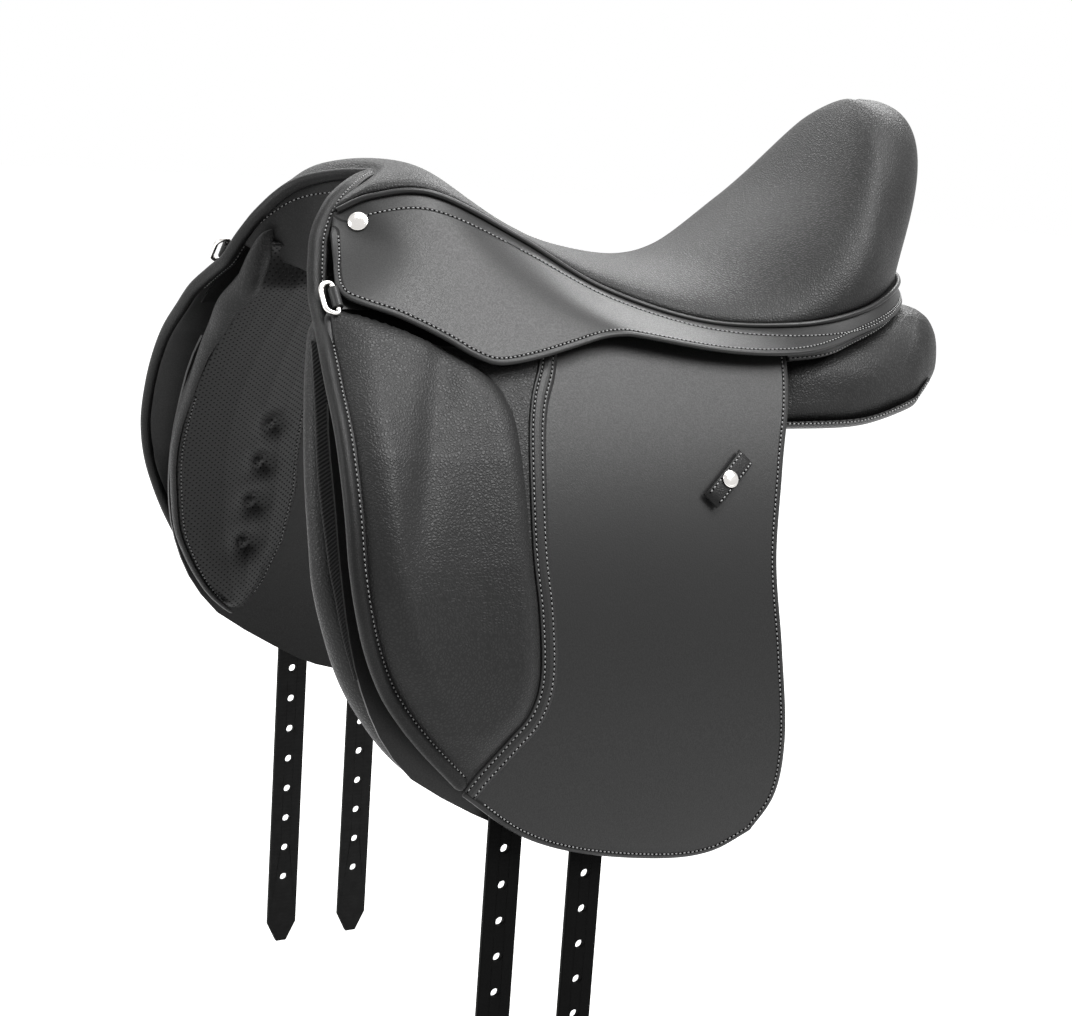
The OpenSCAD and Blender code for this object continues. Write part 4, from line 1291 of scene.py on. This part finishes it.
        strap = Shaper.skin(f"keeper_strap_{word}", place, 12, 46, self.side, outward=out)
        Shaper.thicken(strap, 2.0)
        Shaper.soften(strap)
        shop.place(strap, "roll_leather", f"flap_{word}", f"keeper_{word}")
        run = np.linspace(-half + 2.5, half - 2.5, 40)
        rows = [centre + run[:, None] * along + c * across + (room + 0.8) * out for c in self.keeper_rows]
        shop.sew(f"keeper_stitches_{word}", [self.side.turn(r) for r in rows], [strap], f"flap_{word}")
        at = centre + (room + 1.0) * out + 1.5 * along
        button = stud(f"keeper_stud_{word}", self.side.turn(at), self.side.turn(out), *self.keeper_button)
        shop.place(button, "chrome", f"flap_{word}", f"keeper_button_{word}")


def stud(name: str, at: Array, out: Array, radius: float, height: float) -> Piece:
    """A plain domed button, spun from its section.

    Args:
        name: name of the piece.
        at: middle of its foot, in millimetres.
        out: direction that it faces.
        radius, height: its sizes.

    Returns:
        The new object.
    """
    section = ((0.0, 1.0), (0.35, 0.97), (0.62, 0.88), (0.80, 0.74), (0.84, 0.66), (0.90, 0.66), (0.97, 0.58),
               (1.0, 0.40), (1.0, 0.0))
    bm = bmesh.new()
    verts = [bm.verts.new((r * radius * MM, 0, h * height * MM)) for r, h in section]
    edges = [bm.edges.new(pair) for pair in zip(verts, verts[1:])]
    bmesh.ops.spin(bm, geom=verts + edges, cent=(0, 0, 0), axis=(0, 0, 1), angle=2 * math.pi, steps=48,
                   use_merge=True)
    bmesh.ops.remove_doubles(bm, verts=bm.verts, dist=0.000005)
    bmesh.ops.holes_fill(bm, edges=[e for e in bm.edges if e.is_boundary], sides=0)
    bmesh.ops.recalc_face_normals(bm, faces=bm.faces)
    turn = Vector((0, 0, 1)).rotation_difference(Vector(out)).to_matrix().to_4x4()
    turn.translation = Vector(np.asarray(at) * MM)
    bmesh.ops.transform(bm, matrix=turn, verts=bm.verts)
    return Shaper.to_object(bm, name)


@dataclass(frozen=True)
class Stuffing:
    """Swells a padded skin by a cloth simulation with air pressure inside."""

    voxel: float = 5.0
    pressure: float = 4.0
    frames: int = 20
    cap: float = 5.0

    def swell(self, obj: Piece) -> None:
        """Puffs a closed skin up, each point by no more than the cap, and eases it."""
        remesh = obj.modifiers.new("even", "REMESH")
        remesh.mode = "VOXEL"
        remesh.voxel_size = self.voxel * MM
        self.settle(obj)
        before = np.array([v.co for v in obj.data.vertices])
        cloth = obj.modifiers.new("stuffing", "CLOTH")
        cloth.settings.use_pressure = True
        cloth.settings.uniform_pressure_force = self.pressure
        cloth.settings.effector_weights.gravity = 0.0
        cloth.point_cache.frame_end = self.frames
        for number in range(1, self.frames + 1):
            bpy.context.scene.frame_set(number)
        self.settle(obj)
        bpy.context.scene.frame_set(1)
        moved = np.array([v.co for v in obj.data.vertices]) - before
        far = np.linalg.norm(moved, axis=1, keepdims=True)
        after = before + moved * np.minimum(1.0, self.cap * MM / np.maximum(far, 1e-9))
        obj.data.vertices.foreach_set("co", after.astype(np.float32).ravel())
        obj.data.shade_smooth()
        LOG.info("%s: swelled by up to %.1f mm", obj.name, min(self.cap, float(far.max()) / MM))

    @staticmethod
    def settle(obj: Piece) -> None:
        """Applies the modifiers of a piece."""
        mesh = bpy.data.meshes.new_from_object(obj.evaluated_get(bpy.context.evaluated_depsgraph_get()))
        obj.modifiers.clear()
        obj.data = mesh


@dataclass
class Lining:
    """Inner side: panel, front roll and pad, sweat flap."""

    side: Side
    sweat_inner: float = -24.0
    pad_depth: float = 20.0
    pad_top: float = 68.0
    pad_low: float = -254.0
    pad_rise: tuple = ((0, 0.80), (0.03, 0.88), (0.16, 0.97), (0.36, 1), (0.6, 0.86), (0.8, 0.58), (0.94, 0.25),
                       (1, 0.1))
    pad_front: tuple = ((-250, 70), (-255, 51), (-261, 29), (-265.5, 8), (-271, -20), (-274, -36), (-277, -57),
                        (-279, -85), (-279, -112), (-276, -139), (-270, -176), (-261, -200), (-251, -220),
                        (-239, -237), (-222, -254))
    pad_rear: tuple = ((-178, 70), (-178, -108), (-175, -153), (-181, -197), (-195, -231), (-212, -256))
    roll_near: tuple = ((-244, 66), (-262, 44), (-271, 31), (-282, -6), (-290, -55), (-292, -107), (-290, -133),
                        (-284, -160), (-275, -188), (-262, -214), (-240, -247), (-208, -280))
    roll_far: tuple = ((-252, 74), (-255, 68), (-259, 41), (-267, 22), (-270, 1), (-274, -19), (-278, -57), (-281, -85),
                       (-281, -112), (-278, -139), (-272, -176), (-263, -200), (-253, -220), (-241, -238), (-224, -255))
    wide_near: tuple = ((-280, 9.5), (70, 9.5))
    wide_far: tuple = ((-255, 2.0), (-60, 2.2), (-19, 3.4), (1, 5.5), (22, 8), (41, 9.5), (58, 9), (74, 6))
    off_near: tuple = ((-250, -45), (-210, -43), (-150, -38), (-100, -36), (34, -34))
    off_far: tuple = ((-255, -38), (-60, -38), (0, -35), (44, -35), (60, -28), (74, -20))
    high_near: tuple = ((-250, 17), (-210, 15), (-150, 12), (-100, 10), (34, 10))
    high_far: tuple = ((-255, 4), (-60, 5), (-19, 7), (1, 9), (41, 10.5), (56, 7), (74, 2))
    rib_front: tuple = ((-274, 23), (-280, -12), (-286, -59), (-285, -108), (-282, -133), (-278, -159), (-271, -186))
    rib_rear: tuple = ((-268, 21), (-271, -13), (-275, -60), (-276, -109), (-274, -134), (-270, -159), (-264, -185))
    tufts: tuple = ((-207, -88), (-211, -122), (-214, -157), (-217, -193))
    tuft_depth: float = 8.5
    tuft_width: float = 11.0
    tuft_button: float = 4.5
    button_width: float = 3.6
    crease: float = 1.6
    stations: tuple = (
        (-170, 46, 42, 72, 24, 100, -16, 52, 6), (-165, 44, 46, 74, 26, 108, -20, 50, 2),
        (-121, 38, 34, 82, 14, 121, -32, 42, -10), (-61, 34, 16, 92, 2, 129, -42, 36, -26),
        (8, 32, 8, 102, -12, 137, -54, 34, -40), (36, 32, 8, 104, -14, 139, -58, 34, -44),
        (76, 32, 10, 124, -10, 142, -60, 34, -46), (130, 32, 14, 126, -2, 136, -62, 34, -42),
        (180, 32, 16, 108, 12, 122, -55, 34, -38), (196, 33, 22, 101, 21, 113, -50, 35, -35),
        (212, 34, 24, 93, 20, 103, -43, 36, -31), (225, 38, 18, 84, 11, 92, -34, 42, -27),
        (232, 46, 10, 74, 5, 80, -26, 50, -20))
    seam_angle: float = -28.0
    gusset_from: float = 4.5
    gusset_run: float = 5.4
    gusset_turn: float = 0.75

    def build(self, shop: Workshop) -> None:
        """Makes all pieces of the inner side."""
        word = self.side.word
        self.panel(shop)
        self.roll(shop)
        if self.side is Side.LEFT:
            self.ribs(shop)
        self.pad(shop)
        sweat = Shaper.from_node(f"sweat_flap_leather_{word}", f"sweat_flap_{word}", 0)
        Shaper.round_edges(sweat, 0.8)
        shop.place(sweat, "smooth_leather", "saddle", f"sweat_flap_{word}")

    @staticmethod
    def half_area(obj: Piece) -> float:
        """Area of one face of a thin solid, in square metres."""
        return 0.5 * sum(face.area for face in obj.data.polygons)

    def section(self, k: Array, angle: Array, out: Array = 0.0) -> tuple[Array, Array]:
        """Points round the panel at stations, angle 0 outwards and a quarter turn up, moved out from its skin."""
        v = spline(self.stations, k)
        c, s = np.cos(angle), np.sin(angle)
        norm = (np.abs(c)**3 + np.abs(s)**3)**(1 / 3)
        a, b = ((1 - c / norm) / 2)[:, None], ((1 - s / norm) / 2)[:, None]
        it, ot, ob, ib = (v[:, i:i + 2] for i in (1, 3, 5, 7))
        p = (1 - b) * (a * it + (1 - a) * ot) + b * (a * ib + (1 - a) * ob)
        middle = (it + ot + ob + ib) / 4
        return np.concatenate([v[:, :1], p + np.reshape(out, (-1, 1)) * unit(p - middle)], axis=1), middle

    def panel(self, shop: Workshop) -> None:
        """Flocked cushion under the seat, with the sewn gusset on its lower side."""
        word = self.side.word
        last = len(self.stations) - 1

        def place(u: Array, w: Array) -> Array:
            end = np.clip((np.abs(2 * w - 1) - 0.93) / 0.07, 0, 1)
            p, middle = self.section(last * np.clip(1.07 * w - 0.035, 0, 1), 2 * np.pi * u, -2.0)
            shrink = np.sqrt(np.clip(1 - end**2, 0, 1))[:, None]
            p[:, 1:] = middle + (p[:, 1:] - middle) * shrink
            p[:, 0] -= 5 * smoothstep(0.6, 0.93, w)
            return p

        panel = Shaper.skin(f"panel_cushion_{word}", place, 56, 110, self.side)
        Stuffing(cap=3.0).swell(panel)
        Shaper.soften(panel)
        shop.place(panel, "panel_leather", "saddle", f"panel_{word}", fill=0.7)
        seam = math.radians(self.seam_angle)

        def strip(u: Array, w: Array) -> Array:
            end = smoothstep(0.8, 1.0, u)
            angle = seam - 0.02 - self.gusset_turn * w * (1 - 0.9 * end)
            p = self.section(self.gusset_from + self.gusset_run * u, angle, 0.9 - 2.2 * end)[0]
            return p + (4.5 * smoothstep(0.3, 1.0, u))[:, None] * AHEAD

        def flat(u: Array, w: Array) -> Array:
            return np.stack([230 * u, 42 * w], -1)

        gusset = Shaper.skin(f"panel_gusset_{word}", strip, 70, 14, self.side, outward=(0.2, 0.7, -0.7), uv=flat)
        Shaper.thicken(gusset, 1.2)
        shop.place(gusset, "perforated_leather", "saddle")
        line = strip(np.linspace(0, 0.95, 120), np.full(120, 0.055))
        shop.sew(f"panel_stitches_{word}", [self.side.turn(line)], [gusset], "saddle")

    def roll(self, shop: Workshop) -> None:
        """Roll along the front of the panel."""
        word = self.side.word
        near = self.side is Side.LEFT
        line = Line(self.roll_near).inwards(9.5) if near else Line(self.roll_far)
        p = line.at(np.linspace(0, 1, 161))
        path = FORM.at(p[:, 0], p[:, 1], graded(self.off_near if near else self.off_far, p[:, 1]))
        w = np.linspace(0, 1, len(path))
        shrink = np.sqrt(np.clip(1 - np.abs(2 * w - 1)**40, 0.0005, 1))
        wide = graded(self.wide_near if near else self.wide_far, p[:, 1]) * shrink
        high = graded(self.high_near if near else self.high_far, p[:, 1]) * shrink

        def section(u: Array, i: Array) -> tuple[Array, Array]:
            a = 2 * np.pi * u
            return wide[i] * np.sin(a), high[i] * np.cos(a)

        roll = Shaper.sweep(f"panel_front_roll_{word}", path, FORM.normal(p[:, 1]), section, self.side)
        Shaper.soften(roll)
        shop.place(roll, "panel_leather", "saddle", f"panel_roll_{word}", fill=0.8)

    def ribs(self, shop: Workshop) -> None:
        """Ribbed strip between the roll and the sweat flap."""
        word = self.side.word
        front, rear = Line(self.rib_front), Line(self.rib_rear)

        def place(u: Array, w: Array) -> Array:
            p = front.at(w) + (rear.at(w) - front.at(w)) * u[:, None]
            return FORM.at(p[:, 0], p[:, 1], -24.2 + 1.2 * u)

        def flat(u: Array, w: Array) -> Array:
            return np.stack([10 * u, front.length * w], -1)

        strip = Shaper.skin(f"panel_ribs_{word}", place, 8, 120, self.side, outward=(0, 1, 0), uv=flat)
        Shaper.thicken(strip, 1.5)
        shop.place(strip, "panel_leather", "saddle", finish=("ribbed",))

    def pad(self, shop: Workshop) -> None:
        """Perforated front pad with its sewn tufts."""
        word = self.side.word
        front, rear = Line(self.pad_front), Line(self.pad_rear, smooth=False)

        def spread(u: Array, w: Array) -> tuple[Array, Array]:
            z = self.pad_low + (self.pad_top - self.pad_low) * w
            left = front.across(z)
            return left + (np.maximum(rear.across(z), left + 6) - left) * u, z

        def height(u: Array, w: Array, x: Array, z: Array) -> Array:
            thin = 1 - 0.85 * smoothstep(44, 66, z)
            foot = np.sqrt(np.clip(1 - np.clip(1 - 2 * w, 0, 1)**10, 0, 1))
            full = self.pad_depth * graded(self.pad_rise, u) * thin * foot
            for tx, tz in self.tufts:
                away = np.hypot(x - tx, z - tz)
                valley = np.exp(-(((x - tx) * 0.75 + (z - tz) * 0.66) / 6)**2) * np.exp(-away / 22)
                pit = self.tuft_depth * np.exp(-(away / self.tuft_width)**1.6)
                full = full - pit - self.crease * valley + self.tuft_button * np.exp(-(away / self.button_width)**8)
            return np.maximum(full, 1.0)

        def place(u: Array, w: Array) -> Array:
            x, z = spread(u, w)
            return FORM.at(x, z, self.sweat_inner - 0.3 - height(u, w, x, z))

        def base(u: Array, w: Array) -> Array:
            x, z = spread(u, w)
            return FORM.at(x, z, self.sweat_inner - 0.3)

        def flat(u: Array, w: Array) -> Array:
            x, z = spread(u, w)
            return np.stack([x, FORM.radius * np.arcsin((z - FORM.axis_z) / FORM.radius)], -1)

        pad = Shaper.skin(f"front_pad_leather_{word}", place, 72, 170, self.side, outward=(0, -1, 0), uv=flat,
                          base=base)
        shop.place(pad, "perforated_leather", "saddle", f"front_pad_{word}", "pad_tufts",
                   finish=("perforated_leather", "panel_leather"), fill=0.7)
        w = np.linspace(0.04, 0.62, 90)
        rows = [self.side.turn(place(np.full_like(w, share), w)) for share in (0.03, 0.965)]
        shop.sew(f"pad_stitches_{word}", rows, [pad], "saddle")


@dataclass
class Pommel:
    """Facing of the arch under the pommel."""

    upper: tuple = ((-199, 0, 100), (-215, 14, 97.5), (-230, 28, 92.5), (-241, 36.5, 86), (-249, 43, 78),
                    (-255, 48.5, 70), (-259.5, 55, 62), (-262.5, 62, 54), (-265.3, 68.7, 46))
    lower: tuple = ((-212, 0, 25), (-214, 10, 26), (-220, 24, 27), (-228, 38, 30), (-239, 52, 34), (-251, 66, 37),
                    (-257, 74, 43))
    bulge: float = 4.5
    bulge_way: tuple = (-0.93, 0, -0.35)
    pleat: float = 0.9
    pleats: int = 16
    pleat_reach: float = 0.22
    seam: float = 0.13

    def build(self, shop: Workshop) -> None:
        """Makes the facing and its row of stitches."""
        top, low = Line(self.upper), Line(self.lower)

        def half(a: Array, w: Array) -> Array:
            bulge = self.bulge * np.sin(np.pi * w) * (1 - 0.5 * a)
            fold = self.pleat * np.cos(2 * np.pi * a * self.pleats) * np.exp(-(a / self.pleat_reach)**2)
            away = (bulge + fold * np.sin(np.pi * w)**2)[:, None] * np.array(self.bulge_way)
            return top.at(a) + (low.at(a) - top.at(a)) * w[:, None] + away

        def place(u: Array, w: Array) -> Array:
            return both_sides(half(np.abs(2 * u - 1), w), u)

        facing = Shaper.skin("pommel_facing", place, 120, 24, outward=(-1, 0, 0))
        Shaper.thicken(facing, 2.0)
        Shaper.soften(facing)
        shop.place(facing, "roll_leather", "saddle", "gullet_facing")
        a = np.linspace(0.06, 0.97, 60)
        row = half(a, np.full_like(a, self.seam))
        shop.sew("facing_stitches", [row, Side.LEFT.turn(row)], [facing], "saddle")


@dataclass
class Fittings:
    """Hard pieces and hidden pieces that keep their frame solids, and those refined from them."""

    def build(self, shop: Workshop) -> None:
        """Dresses the frame nodes that stay and rounds the straps and rings."""
        keep = {"tree": "tree_plastic", "gullet_plate": "steel", "bar_rivets": "steel", "catch_pins": "steel"}
        for side in Side:
            word = side.word
            for name in ("front", "rear"):
                node = f"billet_{name}_{word}"
                strap = Shaper.from_node(f"girth_strap_{name}_{word}", node, 0)
                Shaper.round_edges(strap, 0.7)
                shop.place(strap, "strap_leather", node, node)
            ring_piece = Shaper.from_node(f"front_ring_{word}", f"d_ring_{word}", 2)
            shop.place(ring_piece, "chrome", f"d_ring_{word}", f"d_ring_{word}")
            keep.update({f"stirrup_bar_{word}": "steel", f"catch_{word}": "steel", f"girth_webs_{word}": "webbing",
                         f"ring_tab_{word}": "smooth_leather"})
            # The near side's flap head gets the near-black painted shadow; the far side's keeps the plain leather.
            finish = ("underlay",) if side is Side.LEFT else ()
            shop.wardrobe.dress(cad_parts[f"flap_head_{word}"], "smooth_leather", *finish)
        for node, slot in keep.items():
            shop.wardrobe.dress(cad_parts[node], slot)


@dataclass(frozen=True)
class Studio:
    """Camera at the photograph's angle, soft lights and a pale floor."""

    heading: float = 28.0
    elevation: float = 14.0
    roll: float = 4.0
    distance: float = 1600.0
    focal_px: float = 2240.0
    image: tuple = (1072, 1016)
    anchor: tuple = (0.0, 0.0, 45.0)
    anchor_px: tuple = (625.0, 258.0)
    lamps: tuple = (
        ("top_box", (-0.1, -0.2, 1.9), (0.0, 0.0, 0.05), (1.6, 1.2), 16),
        ("flap_box", (0.95, -1.3, 1.3), (-0.05, -0.15, 0.0), (1.0, 0.6), 30),
        ("skirt_box", (0.55, -0.75, 1.75), (-0.05, -0.1, 0.0), (1.0, 0.7), 50),
        ("back_box", (-0.2, 1.6, 1.5), (0.0, 0.0, 0.05), (1.6, 0.8), 26),
        ("rear_box", (1.3, 1.3, 1.3), (0.1, 0.0, 0.1), (1.0, 0.8), 22),
        ("front_box", (-2.0, 0.1, 0.6), (-0.2, -0.1, -0.1), (0.7, 1.0), 26))
    fill: float = 0.05
    white: float = 1.0
    floor_gap: float = 4.0
    floor_shade: float = 0.5
    floor_glow: float = 0.96

    def camera(self) -> None:
        """Camera that puts the anchor on its pixel."""
        a, e, r = (math.radians(v) for v in (-self.heading, self.elevation, self.roll))
        back = np.array((math.sin(a) * math.cos(e), -math.cos(a) * math.cos(e), math.sin(e)))
        level = np.array((math.cos(a), math.sin(a), 0.0))
        above = np.cross(back, level)
        right = level * math.cos(r) + above * math.sin(r)
        up = -level * math.sin(r) + above * math.cos(r)
        scale = self.distance / self.focal_px
        dx = self.anchor_px[0] - self.image[0] / 2
        dy = self.image[1] / 2 - self.anchor_px[1]
        at = np.array(self.anchor) - right * dx * scale - up * dy * scale + back * self.distance
        data = bpy.data.cameras.new("camera")
        data.sensor_width = 36.0
        data.sensor_fit = "HORIZONTAL"
        data.lens = data.sensor_width * self.focal_px / self.image[0]
        camera = bpy.data.objects.new("camera", data)
        turn = Matrix((right, up, back)).transposed().to_4x4()
        turn.translation = Vector(at * MM)
        camera.matrix_world = turn
        bpy.context.scene.collection.objects.link(camera)
        bpy.context.scene.camera = camera

    @staticmethod
    def lamp(name: str, at: Sequence[float], target: Sequence[float], size: Sequence[float], power: float) -> None:
        """A soft box aimed at a point; places and sizes in metres."""
        data = bpy.data.lights.new(name, "AREA")
        data.shape = "RECTANGLE"
        data.size, data.size_y = size
        data.energy = power
        lamp = bpy.data.objects.new(name, data)
        lamp.location = at
        lamp.rotation_euler = (Vector(target) - Vector(at)).to_track_quat("-Z", "Y").to_euler()
        bpy.context.scene.collection.objects.link(lamp)

    def build(self) -> None:
        """Makes the camera, the lights, the floor and the pale surround."""
        self.camera()
        for lamp in self.lamps:
            self.lamp(*lamp)
        self.surround()
        self.floor()

    def surround(self) -> None:
        """Surround that is white where it is seen or mirrored, and else a faint fill."""
        world = bpy.data.worlds.new("surround")
        bpy.context.scene.world = world
        world.use_nodes = True
        b = Board(world.node_tree)
        faint = b.tree.nodes["Background"]
        seen = b.node("ShaderNodeBackground")
        for backdrop, strength in ((faint, self.fill), (seen, self.white)):
            b.feed(backdrop.inputs[0], grey(1.0))
            b.feed(backdrop.inputs[1], strength)
        mix = b.node("ShaderNodeMixShader", {0: b.shown(), 1: faint.outputs[0], 2: seen.outputs[0]})
        b.feed(b.tree.nodes["World Output"].inputs[0], mix.outputs[0])

    def floor(self) -> None:
        """Pale floor under the strap ends."""
        bm = bmesh.new()
        bmesh.ops.create_circle(bm, cap_ends=True, segments=96, radius=6.0)
        floor = Shaper.to_object(bm, "floor")
        floor.location.z = CAD_BOX[0].z - self.floor_gap * MM
        b = Palette("pale_floor")
        b.surface(grey(self.floor_shade), 0.9, 0.1)
        b.feed(b.shader.inputs["Emission Color"], grey(1.0))
        b.feed(b.shader.inputs["Emission Strength"], b.math("MULTIPLY", b.shown(), self.floor_glow))
        floor.data.materials.append(b.material)


def main() -> None:
    """Builds the saddle around the frame."""
    logging.basicConfig(level=logging.INFO, format="%(name)s: %(message)s")
    bpy.context.scene.view_settings.view_transform = "Standard"
    Studio().build()
    shop = Workshop(Wardrobe())
    seat = Seat()
    seat.build(shop)
    for side in Side:
        Skirt(side, seat).build(shop)
        FrontRoll(side).build(shop)
        Flap(side).build(shop)
        Lining(side).build(shop)
    Pommel().build(shop)
    Fittings().build(shop)
    LOG.info("%d pieces", shop.count)


if __name__ == "__main__":
    main()
